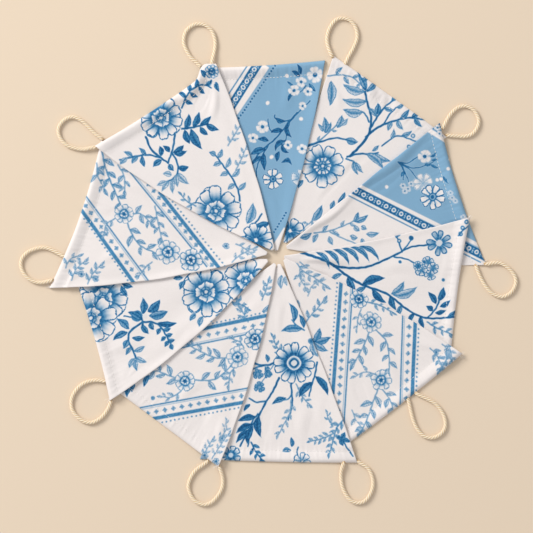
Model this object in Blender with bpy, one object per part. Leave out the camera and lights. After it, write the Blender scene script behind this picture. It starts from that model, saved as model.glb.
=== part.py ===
"""Fabric bunting, laid out as a fan.

Ten triangular flags of printed cotton lie on a flat surface with their hems at
the rim and their tips round a small gap in the middle. Each flag laps over the
one before it. A twisted cord runs in the hems and comes out between each pair
as a loop. Lengths are in millimetres, places are measured from the middle gap,
+X to the right and +Y towards flag 1, and the surface is at height 0.
"""

import math
from typing import NamedTuple

import bmesh
import bpy
import numpy as np

MM = 0.001

# Cloth
CLOTH = 1.0
HIDDEN_HEM = 0.45
LAP_CLEARANCE = 0.5
EDGE_CLEARANCE = 3.0
DRAPE_SLOPE = 0.16
TIP_WIDTH = 3.0
FLARE_AT = 0.92
FLARE_SHARE = 0.11
FLARE_DEPTH = 28.0

# Grid of a flag
BODY_ROWS = 8
FREE_COLUMNS = 7
LANDING = 14.0
FINE = 4
SETTLE_PASSES = 3

# Cord
CORD = 3.8
CORD_GAP = 0.45
CORD_LIFT = 0.05
CORD_STEP = 2.0 * CORD
RISE_LENGTH = 16.0
TRIM_STEP = 0.2
ROUTE_STEPS = 24
TRIM_SPANS = 3
TRIM_SAMPLES = 9


class HemRow(NamedTuple):
    """The hem's roll: how far in from its folded edge, and how high there."""

    inset: float
    height: float


HEM_ROWS = [
    HemRow(0.0, 1.8),
    HemRow(1.2, 3.0),
    HemRow(3.0, 3.6),
    HemRow(5.6, 3.5),
    HemRow(8.0, 2.7),
    HemRow(10.0, 1.5),
    HemRow(12.0, 1.1),
    HemRow(15.0, 1.0),
]


class Flag(NamedTuple):
    """One flag: its hem's ends and its tip, and how far each side bows outwards.

    Left and right are as seen from the middle gap. A lap is how much of the
    neighbouring flag lies under that end of the hem, and hidden is how much of
    the right end lies under the next flag. A flare is how far the hem bulges
    out where its right end is bunched on the cord.
    """

    number: int
    ground: str
    left: tuple
    right: tuple
    tip: tuple
    left_bow: float
    right_bow: float
    hem_bow: float
    left_lap: float
    right_lap: float
    hidden: float
    flare: float = 0.0


# In the order in which they are laid down.
FLAGS = [
    Flag(2, "white", (52.3, 200.3), (166.0, 119.0), (3.5, 13.5), 3.0, 0.5, 0.5, 0.0, 0.0, 16.0),
    Flag(1, "blue", (-81.0, 188.0), (44.0, 195.5), (-4.5, 5.5), 0.5, 4.0, -1.5, 0.0, 4.0, 0.0),
    Flag(3, "blue", (158.5, 133.0), (205.2, -9.1), (5.5, 8.6), 0.5, 5.0, -3.5, 15.0, 0.0, 46.0),
    Flag(4, "white", (188.4, 38.6), (169.0, -109.0), (3.2, -1.0), -3.2, 0.5, -2.2, 46.0, 0.0, 16.0),
    Flag(5, "white", (181.0, -97.6), (59.0, -193.0), (3.4, -3.4), 6.0, 0.8, 2.0, 16.0, 0.0, 11.0),
    Flag(6, "white", (76.3, -206.5), (-81.0, -203.0), (-1.8, -8.0), 2.6, 0.5, 1.0, 11.0, 0.0, 20.0),
    Flag(7, "white", (-62.5, -210.5), (-171.7, -129.3), (-6.0, -7.8), 6.5, 0.5, 0.0, 20.0, 0.0, 15.0),
    Flag(8, "white", (-171.0, -144.5), (-215.0, 2.0), (-13.4, -4.4), 8.0, 0.5, -3.4, 15.0, 0.0, 30.0),
    Flag(9, "white", (-231.5, -32.0), (-180.0, 116.0), (-14.0, 2.6), 7.5, 0.5, -5.2, 30.0, 0.0, 9.0),
    Flag(10, "white", (-186.0, 110.0), (-64.0, 190.8), (-7.6, 6.2), 7.0, 4.2, -2.5, 8.0, 16.0, 0.0, 8.0),
]


class Fold(NamedTuple):
    """A soft ridge: where its middle is, which way it runs, and its size."""

    flag: int
    x: float
    y: float
    heading: float
    length: float
    width: float
    height: float


FOLDS = [
    Fold(1, -30.0, 178.0, 95.0, 44.0, 34.0, 1.2),
    Fold(1, 14.0, 172.0, 80.0, 50.0, 30.0, 1.0),
    Fold(2, 84.0, 170.0, 60.0, 46.0, 32.0, 1.8),
    Fold(2, 122.0, 142.0, 50.0, 50.0, 34.0, 1.5),
    Fold(2, 72.0, 92.0, 48.0, 90.0, 44.0, 1.2),
    Fold(3, 62.0, 52.0, 39.0, 110.0, 16.0, 2.6),
    Fold(3, 168.0, 60.0, 10.0, 60.0, 40.0, 1.4),
    Fold(4, 36.0, -4.0, 10.0, 60.0, 18.0, 3.4),
    Fold(4, 118.0, -22.0, -18.0, 90.0, 40.0, 1.6),
    Fold(4, 150.0, -66.0, -12.0, 50.0, 34.0, 1.4),
    Fold(5, 120.0, -128.0, -48.0, 44.0, 40.0, 2.2),
    Fold(5, 82.0, -92.0, -52.0, 100.0, 36.0, 1.4),
    Fold(6, 22.0, -168.0, -80.0, 70.0, 46.0, 1.6),
    Fold(6, -30.0, -186.0, -96.0, 46.0, 34.0, 1.3),
    Fold(7, -92.0, -150.0, -118.0, 70.0, 44.0, 1.6),
    Fold(7, -60.0, -92.0, -120.0, 80.0, 30.0, 1.2),
    Fold(8, -150.0, -74.0, -150.0, 70.0, 46.0, 1.7),
    Fold(8, -96.0, -30.0, -165.0, 80.0, 32.0, 1.3),
    Fold(9, -160.0, 20.0, 172.0, 80.0, 44.0, 1.6),
    Fold(9, -196.0, 8.0, 190.0, 40.0, 30.0, 1.3),
    Fold(10, -112.0, 146.0, 118.0, 46.0, 30.0, 2.2),
    Fold(10, -74.0, 172.0, 100.0, 44.0, 24.0, 3.0),
    Fold(10, -92.0, 88.0, 130.0, 90.0, 40.0, 1.4),
]


class Loop(NamedTuple):
    """A loop of cord: how far each end is lifted to its hem, and its route."""

    number: int
    start_lift: float
    end_lift: float
    route: list


LOOPS = [
    Loop(1, 0.0, 2.0, [
        (-80.0, 189.0), (-84.0, 193.0), (-90.4, 199.0), (-95.5, 208.0), (-97.2, 216.0), (-94.5, 225.0),
        (-87.5, 230.8), (-81.0, 231.8), (-74.5, 230.0), (-68.5, 224.0), (-65.6, 214.0), (-66.4, 205.0),
        (-68.6, 195.5), (-69.8, 189.0)]),
    Loop(2, 1.5, 0.0, [
        (54.0, 194.5), (50.8, 200.0), (47.4, 208.0), (46.0, 217.0), (48.4, 227.0), (54.0, 235.0),
        (60.0, 237.6), (68.0, 236.0), (74.4, 229.0), (76.3, 219.0), (73.0, 209.0), (67.5, 199.0),
        (62.0, 188.0)]),
    Loop(3, 1.5, 0.0, [
        (161.0, 127.0), (164.5, 133.5), (169.0, 141.0), (176.0, 147.8), (184.5, 149.9), (193.0, 145.5),
        (197.6, 136.5), (196.2, 128.2), (190.6, 121.6), (183.0, 119.5), (174.5, 120.0), (162.0, 120.8)]),
    Loop(4, 0.0, 0.0, [
        (200.0, -7.6), (206.5, -8.0), (212.0, -6.9), (219.5, -7.2), (227.3, -12.0), (233.0, -18.8),
        (234.8, -25.4), (232.9, -32.2), (228.0, -38.0), (220.5, -40.7), (212.0, -37.8), (205.2, -31.0),
        (199.6, -21.6), (195.6, -12.0), (192.5, -3.0)]),
    Loop(5, 0.0, 0.0, [
        (124.0, -137.0), (127.5, -145.0), (129.6, -154.0), (132.2, -164.0), (136.0, -172.4), (142.0, -179.2),
        (149.0, -181.6), (156.0, -180.2), (162.2, -175.0), (164.4, -167.0), (161.6, -157.0), (154.5, -147.8),
        (145.0, -142.2), (136.0, -137.8), (129.0, -133.0)]),
    Loop(6, 1.5, 0.0, [
        (66.0, -199.0), (62.4, -207.0), (60.0, -218.0), (61.6, -231.0), (68.2, -242.8), (77.0, -246.8),
        (85.4, -243.4), (91.2, -233.0), (91.6, -222.5), (87.2, -212.4), (78.0, -206.0), (71.0, -200.0)]),
    Loop(7, 1.5, 0.0, [
        (-64.0, -203.0), (-61.8, -210.0), (-58.2, -222.0), (-59.6, -233.6), (-67.6, -244.6), (-76.8, -248.4),
        (-86.6, -244.0), (-92.2, -233.4), (-91.4, -224.4), (-85.4, -214.4), (-75.0, -206.6), (-70.0, -201.0)]),
    Loop(8, 0.4, 0.0, [
        (-168.0, -138.0), (-170.2, -146.0), (-173.0, -153.0), (-179.6, -161.5), (-189.2, -166.4),
        (-199.2, -164.0), (-207.6, -155.4), (-209.6, -145.6), (-206.0, -135.8), (-197.6, -127.6),
        (-186.0, -124.2), (-174.0, -125.6), (-166.0, -126.8)]),
    Loop(9, 0.0, 1.5, [
        (-216.0, -1.0), (-220.8, 1.6), (-226.6, 4.8), (-233.0, 7.6), (-239.6, 8.3), (-246.2, 6.9),
        (-252.8, 3.9), (-258.4, -1.8), (-259.9, -8.8), (-258.0, -15.4), (-253.9, -21.0), (-247.0, -25.4),
        (-240.4, -26.5), (-232.4, -25.2), (-225.8, -22.6), (-218.0, -19.4)]),
    Loop(10, 0.0, 1.5, [
        (-172.0, 111.0), (-178.5, 116.8), (-186.0, 122.6), (-194.0, 130.6), (-201.0, 136.4), (-209.0, 138.9),
        (-217.4, 135.2), (-222.4, 127.0), (-220.6, 118.2), (-214.2, 111.0), (-206.0, 107.7), (-197.0, 106.6),
        (-189.0, 108.2), (-180.0, 109.2)]),
]

MATERIALS = {
    "white": ((0.83, 0.79, 0.77, 1.0), 0.85),
    "blue": ((0.19, 0.40, 0.66, 1.0), 0.85),
    "cord": ((0.86, 0.74, 0.52, 1.0), 0.80),
}


def material(name):
    """The finish of one kind of cloth or of the cord."""
    if name in bpy.data.materials:
        return bpy.data.materials[name]
    colour, roughness = MATERIALS[name]
    made = bpy.data.materials.new(name)
    made.use_nodes = True
    shader = made.node_tree.nodes["Principled BSDF"]
    shader.inputs["Base Color"].default_value = colour
    shader.inputs["Roughness"].default_value = roughness
    shader.inputs["Metallic"].default_value = 0.0
    made.diffuse_color = colour
    return made


def turned(vector):
    """A vector turned a quarter turn to its left."""
    return np.array([-vector[1], vector[0]])


def unit(vector):
    """The vector's direction, at length 1."""
    return vector / np.linalg.norm(vector)


def bell(share):
    """1 in the middle, falling smoothly to 0 at 1 and beyond."""
    return np.cos(np.clip(np.abs(share), 0.0, 1.0) * math.pi / 2) ** 2


def bowed(start, end, bow, share, inside):
    """A point on a side that bows out, away from a point inside the flag."""
    out = turned(unit(end - start))
    if np.dot(out, inside - start) > 0:
        out = -out
    return start + (end - start) * share + out * bow * 4.0 * share * (1.0 - share)


def column_shares(flag, width):
    """Where the columns stand: close together over a neighbour's edge, even elsewhere."""
    left, right = [0.0], [1.0]
    if flag.left_lap:
        lap = flag.left_lap / width
        left = [0.0, lap / 2, lap + EDGE_CLEARANCE / width, lap + LANDING / width]
    if flag.right_lap:
        lap = flag.right_lap / width
        right = [1.0 - lap - LANDING / width, 1.0 - lap - EDGE_CLEARANCE / width, 1.0 - lap / 2, 1.0]
    between = np.linspace(left[-1], right[0], FREE_COLUMNS + 1)
    return np.array(left + list(between[1:-1]) + right)


def plan(flag):
    """The flag's grid seen from above, row by row from its hem to its tip."""
    left, right, tip = (np.array(p) for p in (flag.left, flag.right, flag.tip))
    along = unit(right - left)
    tip_left, tip_right = tip - along * TIP_WIDTH / 2, tip + along * TIP_WIDTH / 2
    inside = (left + right + tip) / 3
    out = turned(along)
    if np.dot(out, tip - left) > 0:
        out = -out
    depth = abs(np.dot(tip - left, out))
    body = np.linspace(HEM_ROWS[-1].inset, depth, BODY_ROWS + 1)[1:]
    insets = np.array([row.inset for row in HEM_ROWS] + list(body))
    columns = column_shares(flag, np.linalg.norm(right - left))
    grid = np.zeros((len(insets), len(columns), 2))
    for i, inset in enumerate(insets):
        share = inset / depth
        first = bowed(left, tip_left, flag.left_bow, share, inside)
        last = bowed(right, tip_right, flag.right_bow, share, inside)
        for j, column in enumerate(columns):
            rim = flag.hem_bow * 4.0 * column * (1.0 - column) * (1.0 - share) ** 2
            rim += flag.flare * bell((column - FLARE_AT) / FLARE_SHARE) * bell(inset / FLARE_DEPTH)
            grid[i, j] = first + (last - first) * column + out * rim
    return grid, insets, columns


def cloth_height(flag, insets, columns):
    """How thick the cloth is at each point of the grid: the hem's roll, then plain cloth."""
    roll = np.interp(insets, [row.inset for row in HEM_ROWS], [row.height for row in HEM_ROWS])
    width = math.dist(flag.left, flag.right)
    start = 1.0 - flag.hidden / width
    covered = np.clip((columns - start) / max(1.0 - start, 1e-6), 0.0, 1.0) if flag.hidden else columns * 0
    full = 1.0 - (1.0 - HIDDEN_HEM) * covered
    return CLOTH + (roll[:, None] - CLOTH) * full[None, :]


def folds_height(number, points):
    """How high the flag's own folds lift it at each point."""
    height = np.zeros(points.shape[:-1])
    for fold in FOLDS:
        if fold.flag != number:
            continue
        run = np.array([math.cos(math.radians(fold.heading)), math.sin(math.radians(fold.heading))])
        away = points - np.array([fold.x, fold.y])
        along, across = away @ run, away @ turned(run)
        height += fold.height * bell(2 * along / fold.length) * bell(2 * across / fold.width)
    return height


def border(grid):
    """The outline of a grid as a closed ring of points."""
    sides = [grid[0, :-1], grid[:-1, -1], grid[-1, :0:-1], grid[:0:-1, 0]]
    return np.concatenate(sides)


def outside_by(points, ring):
    """How far each point is outside a ring, less than 0 inside it, and the way out there."""
    start, end = ring, np.roll(ring, -1, axis=0)
    side = end - start
    away = points[:, None, :] - start[None]
    share = np.clip((away * side).sum(2) / (side * side).sum(1), 0.0, 1.0)
    off = away - share[..., None] * side
    far = np.linalg.norm(off, axis=2)
    nearest = far.argmin(1)
    rows = np.arange(len(points))
    rises = (start[None, :, 1] > points[:, None, 1]) != (end[None, :, 1] > points[:, None, 1])
    with np.errstate(divide="ignore", invalid="ignore"):
        cross = start[:, 0] + (points[:, None, 1] - start[:, 1]) * side[:, 0] / side[:, 1]
    inside = (rises & (points[:, None, 0] < cross)).sum(1) % 2 == 1
    distance = np.where(inside, -far[rows, nearest], far[rows, nearest])
    return distance, off[rows, nearest] / np.maximum(far[rows, nearest], 1e-9)[:, None]


def finer_steps(count):
    """FINE times as many steps along one side of a grid: the step before each, and the share past it."""
    at = np.linspace(0, count - 1, (count - 1) * FINE + 1)
    low = np.minimum(at.astype(int), count - 2)
    return low, at - low


def corners_of_cells(values):
    """For each finer point, the four corners of its cell and where it lies in it."""
    (down, s), (over, t) = (finer_steps(count) for count in values.shape[:2])
    near, far = values[down], values[down + 1]
    trailing = [1] * (values.ndim - 2)
    return (near[:, over], near[:, over + 1], far[:, over], far[:, over + 1],
            s.reshape(-1, 1, *trailing), t.reshape(1, -1, *trailing))


def finer_plan(grid):
    """The plan with FINE times as many points each way."""
    a, b, c, d, s, t = corners_of_cells(grid)
    return (a * (1 - t) + b * t) * (1 - s) + (c * (1 - t) + d * t) * s


def facet_heights(height, pick):
    """Heights on the flat facets, picked from the two ways in which a cell can be split."""
    a, b, c, d, s, t = corners_of_cells(height)
    one = np.where(s >= t, a + (c - a) * s + (d - c) * t, a + (b - a) * t + (d - b) * s)
    other = np.where(s + t <= 1, a + (c - a) * s + (b - a) * t, d + (b - d) * (1 - s) + (c - d) * (1 - t))
    return pick(one, other)


def supports_under(ring, laid):
    """Points on the tops of the flags laid before, where they lie under this ring."""
    under = []
    for _, below, below_thickness in laid:
        plan_points = finer_plan(below[..., :2]).reshape(-1, 2)
        top = facet_heights(below[..., 2] + below_thickness, np.maximum).reshape(-1, 1)
        distance, _ = outside_by(plan_points, ring)
        under.append(np.concatenate([plan_points, top], axis=1)[distance < EDGE_CLEARANCE])
    return np.concatenate(under) if under else np.zeros((0, 3))


def needed(points, supports):
    """The least height that clears the supports: level near each, then sloping down."""
    if not len(supports):
        return np.zeros(points.shape[:-1])
    flat = points.reshape(-1, 2)
    away = np.linalg.norm(flat[:, None, :] - supports[None, :, :2], axis=2)
    slope = DRAPE_SLOPE * np.maximum(away - EDGE_CLEARANCE, 0.0)
    return np.maximum((supports[:, 2] + LAP_CLEARANCE - slope).max(1), 0.0).reshape(points.shape[:-1])


def largest_around(values, shape):
    """For each point of the coarse grid, the largest value on the finer grid round it."""
    padded = np.pad(values, FINE, constant_values=0.0)
    out = np.zeros(shape)
    for down in range(1, 2 * FINE):
        for over in range(1, 2 * FINE):
            part = padded[down::FINE, over::FINE]
            out = np.maximum(out, part[:shape[0], :shape[1]])
    return out


def lay(flag, laid):
    """The flag's underside, resting on the surface and on the flags laid before it."""
    grid, insets, columns = plan(flag)
    thickness = cloth_height(flag, insets, columns)
    supports = supports_under(border(grid), laid)
    height = np.maximum(folds_height(flag.number, grid), needed(grid, supports))
    need = needed(finer_plan(grid), supports)
    for _ in range(SETTLE_PASSES):
        short = need - facet_heights(height, np.minimum)
        height += largest_around(short, height.shape)
    return np.concatenate([grid, height[..., None]], axis=2), thickness


def make_flag(flag, under, thickness, middle, collection):
    """A flag: a grid laid to its underside, then extruded up to the cloth's height."""
    rows, columns = thickness.shape
    work = bmesh.new()
    bmesh.ops.create_grid(work, x_segments=columns - 1, y_segments=rows - 1, size=1.0)
    place = work.verts.layers.int.new("place")
    for vertex in work.verts:
        i = round((vertex.co.y + 1.0) / 2.0 * (rows - 1))
        j = round((vertex.co.x + 1.0) / 2.0 * (columns - 1))
        vertex[place] = i * columns + j
        x, y, z = under[i, j]
        vertex.co = ((x - middle[0]) * MM, (y - middle[1]) * MM, z * MM)
    made = bmesh.ops.extrude_face_region(work, geom=work.faces[:], use_keep_orig=True)
    for vertex in made["geom"]:
        if isinstance(vertex, bmesh.types.BMVert):
            vertex.co.z += thickness.flat[vertex[place]] * MM
    bmesh.ops.recalc_face_normals(work, faces=work.faces[:])
    mesh = bpy.data.meshes.new(f"flag_{flag.number:02d}")
    work.to_mesh(mesh)
    work.free()
    mesh.materials.append(material(flag.ground))
    collection.objects.link(bpy.data.objects.new(mesh.name, mesh))


def smooth_route(points):
    """Points close together along a smooth curve through the route's own points."""
    points = np.array(points, float)
    ends = [2 * points[0] - points[1], *points, 2 * points[-1] - points[-2]]
    out = []
    for a, b, c, d in zip(ends, ends[1:], ends[2:], ends[3:]):
        for t in np.linspace(0.0, 1.0, ROUTE_STEPS, endpoint=False):
            out.append(0.5 * (2 * b + (c - a) * t + (2 * a - 5 * b + 4 * c - d) * t ** 2
                              + (3 * b - a - 3 * c + d) * t ** 3))
    return np.array([*out, points[-1]])


def along_route(route, start, end):
    """Evenly spaced points on the route between two distances along it."""
    far = np.concatenate([[0.0], np.cumsum(np.linalg.norm(np.diff(route, axis=0), axis=1))])
    at = np.linspace(start, far[-1] - end, math.ceil((far[-1] - start - end) / CORD_STEP) + 1)
    return np.stack([np.interp(at, far, route[:, 0]), np.interp(at, far, route[:, 1])], axis=1)


def touches(line, rings):
    """Whether the tube along the start of a line comes too near a flag."""
    samples = np.linspace(0.0, 1.0, TRIM_SAMPLES)
    along, across = np.meshgrid(samples, 2 * samples - 1)
    for first, second in zip(line, line[1:TRIM_SPANS + 1]):
        side = turned(unit(second - first)) * CORD / 2
        points = first + along.reshape(-1, 1) * (second - first) + across.reshape(-1, 1) * side
        if any((outside_by(points, ring)[0] < CORD_GAP).any() for ring in rings):
            return True
    return False


def between_hems(route, rings):
    """The part of the route that shows, from one hem to the next."""
    start, end = 0.0, 0.0
    while True:
        line = along_route(route, start, end)
        at_start, at_end = touches(line, rings), touches(line[::-1], rings)
        if not at_start and not at_end:
            return line
        start += TRIM_STEP * at_start
        end += TRIM_STEP * at_end


def make_loop(loop, rings, middle, collection):
    """A loop of cord from one hem's end to the next, as a tube along its route."""
    line = between_hems(smooth_route(loop.route), rings)
    count = len(line)
    far = np.concatenate([[0.0], np.cumsum(np.linalg.norm(np.diff(line, axis=0), axis=1))])
    lift = loop.start_lift * bell(far / RISE_LENGTH) + loop.end_lift * bell((far[-1] - far) / RISE_LENGTH)
    curve = bpy.data.curves.new(f"cord_loop_{loop.number:02d}", "CURVE")
    curve.dimensions = "3D"
    curve.bevel_depth = CORD / 2 * MM
    curve.bevel_resolution = 2
    curve.use_fill_caps = True
    spline = curve.splines.new("POLY")
    spline.points.add(count - 1)
    for point, (x, y), rise in zip(spline.points, line - middle, lift):
        point.co = (x * MM, y * MM, (CORD / 2 + CORD_LIFT + rise) * MM, 1.0)
    curve.materials.append(material("cord"))
    collection.objects.link(bpy.data.objects.new(curve.name, curve))


def build():
    """The whole bunting: the flags in the order in which they are laid, then the loops."""
    for thing in list(bpy.data.objects):
        bpy.data.objects.remove(thing, do_unlink=True)
    collection = bpy.data.collections.new("fabric_bunting")
    bpy.context.scene.collection.children.link(collection)
    laid = []
    for flag in FLAGS:
        under, thickness = lay(flag, laid)
        laid.append((flag, under, thickness))
    points = np.concatenate([under[..., :2].reshape(-1, 2) for _, under, _ in laid])
    middle = (points.min(0) + points.max(0)) / 2
    for flag, under, thickness in laid:
        make_flag(flag, under, thickness, middle, collection)
    rings = [border(under[..., :2]) for _, under, _ in laid]
    for loop in LOOPS:
        make_loop(loop, rings, middle, collection)


build()
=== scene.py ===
import math
from typing import NamedTuple

import bpy
import numpy as np
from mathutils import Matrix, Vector
from mathutils.bvhtree import BVHTree
from mathutils.geometry import delaunay_2d_cdt


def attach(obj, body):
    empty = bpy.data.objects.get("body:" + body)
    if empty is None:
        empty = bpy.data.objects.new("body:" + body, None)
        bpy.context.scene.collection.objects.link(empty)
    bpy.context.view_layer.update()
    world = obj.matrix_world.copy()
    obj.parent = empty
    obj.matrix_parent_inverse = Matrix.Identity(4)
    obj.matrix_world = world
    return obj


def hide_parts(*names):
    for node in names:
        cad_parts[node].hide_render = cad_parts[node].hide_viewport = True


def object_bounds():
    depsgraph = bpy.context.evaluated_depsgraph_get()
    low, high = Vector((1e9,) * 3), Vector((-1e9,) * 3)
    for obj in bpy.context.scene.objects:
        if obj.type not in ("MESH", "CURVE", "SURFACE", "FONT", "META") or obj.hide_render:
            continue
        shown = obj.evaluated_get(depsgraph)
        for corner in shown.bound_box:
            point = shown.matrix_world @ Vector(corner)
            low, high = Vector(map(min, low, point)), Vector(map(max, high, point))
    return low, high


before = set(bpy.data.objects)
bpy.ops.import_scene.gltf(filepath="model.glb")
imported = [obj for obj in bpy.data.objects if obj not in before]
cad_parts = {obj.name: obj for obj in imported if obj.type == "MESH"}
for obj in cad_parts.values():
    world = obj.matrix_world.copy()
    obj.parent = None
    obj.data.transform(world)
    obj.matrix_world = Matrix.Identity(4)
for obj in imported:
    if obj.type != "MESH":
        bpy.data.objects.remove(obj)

cad_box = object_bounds()
bpy.ops.object.select_all(action="DESELECT")


# The view.
# The bunting lies flat and is seen from straight above, through a long lens, so that its
# edges keep their true shape all over the picture.
MM = 0.001
PICTURE_WIDTH = 533 * MM
PICTURE_MIDDLE = (-1.35 * MM, -5.4 * MM)
CAMERA_HEIGHT = 2.6
SENSOR_MM = 36.0

bpy.ops.object.camera_add(location=(*PICTURE_MIDDLE, CAMERA_HEIGHT), rotation=(0, 0, 0))
camera = bpy.context.object
camera.name = "camera"
camera.data.sensor_width = SENSOR_MM
camera.data.lens = SENSOR_MM * CAMERA_HEIGHT / PICTURE_WIDTH
bpy.context.scene.camera = camera


# The table top and the light.
# A plain pale surface, with a large soft lamp to the upper left and light all round from
# the room, so that each edge throws a short soft shadow down and to the right.
def dye_colour(red, green, blue):
    """A colour as it reads on a screen, from 0 to 255, as the light that it stands for."""
    parts = np.array([red, green, blue]) / 255
    light = np.where(parts <= 0.04045, parts / 12.92, ((parts + 0.055) / 1.055) ** 2.4)
    return (*light.tolist(), 1.0)


def set_inputs(node, inputs):
    """Gives each input its value, or joins it to the output that stands for it."""
    for name, value in inputs.items():
        if isinstance(value, bpy.types.NodeSocket):
            node.id_data.links.new(value, node.inputs[name])
        else:
            node.inputs[name].default_value = value


TABLE_SIDE = 4.0
TABLE_COLOUR = dye_colour(227, 209, 187)
LAMP_PLACE = (-2.95, 2.5, 2.7)
LAMP_SIZE = 1.9
LAMP_WATTS = 184.0
LAMP_COLOUR = (1.0, 0.975, 0.94)
ROOM_LIGHT = 0.59
ROOM_COLOUR = (1.0, 0.99, 0.98, 1.0)

bpy.ops.mesh.primitive_plane_add(size=TABLE_SIDE, location=(0, 0, 0))
table_top = bpy.context.object
table_top.name = "table_top"
pale = bpy.data.materials.new("pale_surface")
pale.use_nodes = True
set_inputs(pale.node_tree.nodes["Principled BSDF"], {"Base Color": TABLE_COLOUR, "Roughness": 0.9})
table_top.data.materials.append(pale)

bpy.ops.object.light_add(type="AREA", location=LAMP_PLACE)
lamp = bpy.context.object
lamp.name = "soft_lamp"
lamp.data.size = LAMP_SIZE
lamp.data.energy = LAMP_WATTS
lamp.data.color = LAMP_COLOUR
lamp.rotation_euler = (-Vector(LAMP_PLACE)).to_track_quat("-Z", "Y").to_euler()

room = bpy.data.worlds.new("room")
room.use_nodes = True
set_inputs(room.node_tree.nodes["Background"], {"Color": ROOM_COLOUR, "Strength": ROOM_LIGHT})
bpy.context.scene.world = room
bpy.context.scene.view_settings.view_transform = "Standard"


# Cord.
# One undyed cotton cord of three strands twisted together, about 3.8 mm thick, runs
# through all the hems and comes out between each two flags as a loop.
CORD = 3.8
CORD_LIFT = 0.05
STRANDS = 3
STRAND_RADIUS = 0.94
STRAND_OFF_AXIS = 0.98
TURN_LENGTH = 9.6
STRAND_SIDES = 8
STRAND_STEP = 0.7
ROUTE_STEPS = 24
RISE_LENGTH = 16.0
CORD_REACH = 2.6
TUCKED_SHARE = 0.62
MIDDLE_GAP = np.array([13.15, 5.1])


class Loop(NamedTuple):
    """A loop of cord: how far each end is lifted to its hem, and its route from the middle gap."""

    number: int
    start_lift: float
    end_lift: float
    route: list


LOOPS = [
    Loop(1, 0, 2, [
        (-80, 189), (-84, 193), (-90.4, 199), (-95.5, 208), (-97.2, 216), (-94.5, 225),
        (-87.5, 230.8), (-81, 231.8), (-74.5, 230), (-68.5, 224), (-65.6, 214), (-66.4, 205),
        (-68.6, 195.5), (-69.8, 189)]),
    Loop(2, 1.5, 0, [
        (54, 194.5), (50.8, 200), (47.4, 208), (46, 217), (48.4, 227), (54, 235),
        (60, 237.6), (68, 236), (74.4, 229), (76.3, 219), (73, 209), (67.5, 199),
        (62, 188)]),
    Loop(3, 1.5, 0, [
        (161, 127), (164.5, 133.5), (169, 141), (176, 147.8), (184.5, 149.9), (193, 145.5),
        (197.6, 136.5), (196.2, 128.2), (190.6, 121.6), (183, 119.5), (174.5, 120), (162, 120.8)]),
    Loop(4, 0, 0, [
        (200, -7.6), (206.5, -8), (212, -6.9), (219.5, -7.2), (227.3, -12), (233, -18.8),
        (234.8, -25.4), (232.9, -32.2), (228, -38), (220.5, -40.7), (212, -37.8), (205.2, -31),
        (199.6, -21.6), (195.6, -12), (192.5, -3)]),
    Loop(5, 0, 0, [
        (124, -137), (127.5, -145), (129.6, -154), (132.2, -164), (136, -172.4), (142, -179.2),
        (149, -181.6), (156, -180.2), (162.2, -175), (164.4, -167), (161.6, -157), (154.5, -147.8),
        (145, -142.2), (136, -137.8), (129, -133)]),
    Loop(6, 1.5, 0, [
        (66, -199), (62.4, -207), (60, -218), (61.6, -231), (68.2, -242.8), (77, -246.8),
        (85.4, -243.4), (91.2, -233), (91.6, -222.5), (87.2, -212.4), (78, -206), (71, -200)]),
    Loop(7, 1.5, 0, [
        (-64, -203), (-61.8, -210), (-58.2, -222), (-59.6, -233.6), (-67.6, -244.6),
        (-76.8, -248.4), (-86.6, -244), (-92.2, -233.4), (-91.4, -224.4), (-85.4, -214.4),
        (-75, -206.6), (-70, -201)]),
    Loop(8, 0.4, 0, [
        (-168, -138), (-170.2, -146), (-173, -153), (-179.6, -161.5), (-189.2, -166.4),
        (-199.2, -164), (-207.6, -155.4), (-209.6, -145.6), (-206, -135.8), (-197.6, -127.6),
        (-186, -124.2), (-174, -125.6), (-166, -126.8)]),
    Loop(9, 0, 1.5, [
        (-216, -1), (-220.8, 1.6), (-226.6, 4.8), (-233, 7.6), (-239.6, 8.3), (-246.2, 6.9),
        (-252.8, 3.9), (-258.4, -1.8), (-259.9, -8.8), (-258, -15.4), (-253.9, -21), (-247, -25.4),
        (-240.4, -26.5), (-232.4, -25.2), (-225.8, -22.6), (-218, -19.4)]),
    Loop(10, 0, 1.5, [
        (-172, 111), (-178.5, 116.8), (-186, 122.6), (-194, 130.6), (-201, 136.4),
        (-209, 138.9), (-217.4, 135.2), (-222.4, 127), (-220.6, 118.2), (-214.2, 111),
        (-206, 107.7), (-197, 106.6), (-189, 108.2), (-180, 109.2)]),
]


def bell(share):
    """1 in the middle, falling smoothly to 0 at 1 and beyond."""
    return np.cos(np.clip(np.abs(share), 0.0, 1.0) * math.pi / 2) ** 2


def smooth_route(points, steps=ROUTE_STEPS):
    """Points close together along a smooth curve through the route's own points."""
    points = np.array(points, float)
    ends = [2 * points[0] - points[1], *points, 2 * points[-1] - points[-2]]
    out = []
    for a, b, c, d in zip(ends, ends[1:], ends[2:], ends[3:]):
        for t in np.linspace(0.0, 1.0, steps, endpoint=False):
            out.append(0.5 * (2 * b + (c - a) * t + (2 * a - 5 * b + 4 * c - d) * t ** 2
                              + (3 * b - a - 3 * c + d) * t ** 3))
    return np.array([*out, points[-1]])


def distance_along(route):
    """How far along the route each of its points is."""
    return np.concatenate([[0.0], np.cumsum(np.linalg.norm(np.diff(route, axis=0), axis=1))])


def shown_stretch(route, node):
    """Where on the route the solid of this loop starts and ends."""
    far = distance_along(route)
    corners = np.array([v.co[:2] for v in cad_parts[node].data.vertices]) / MM
    nearest = np.linalg.norm(corners[:, None] - route[None], axis=2).argmin(1)
    return far[nearest.min()], far[nearest.max()]


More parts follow.
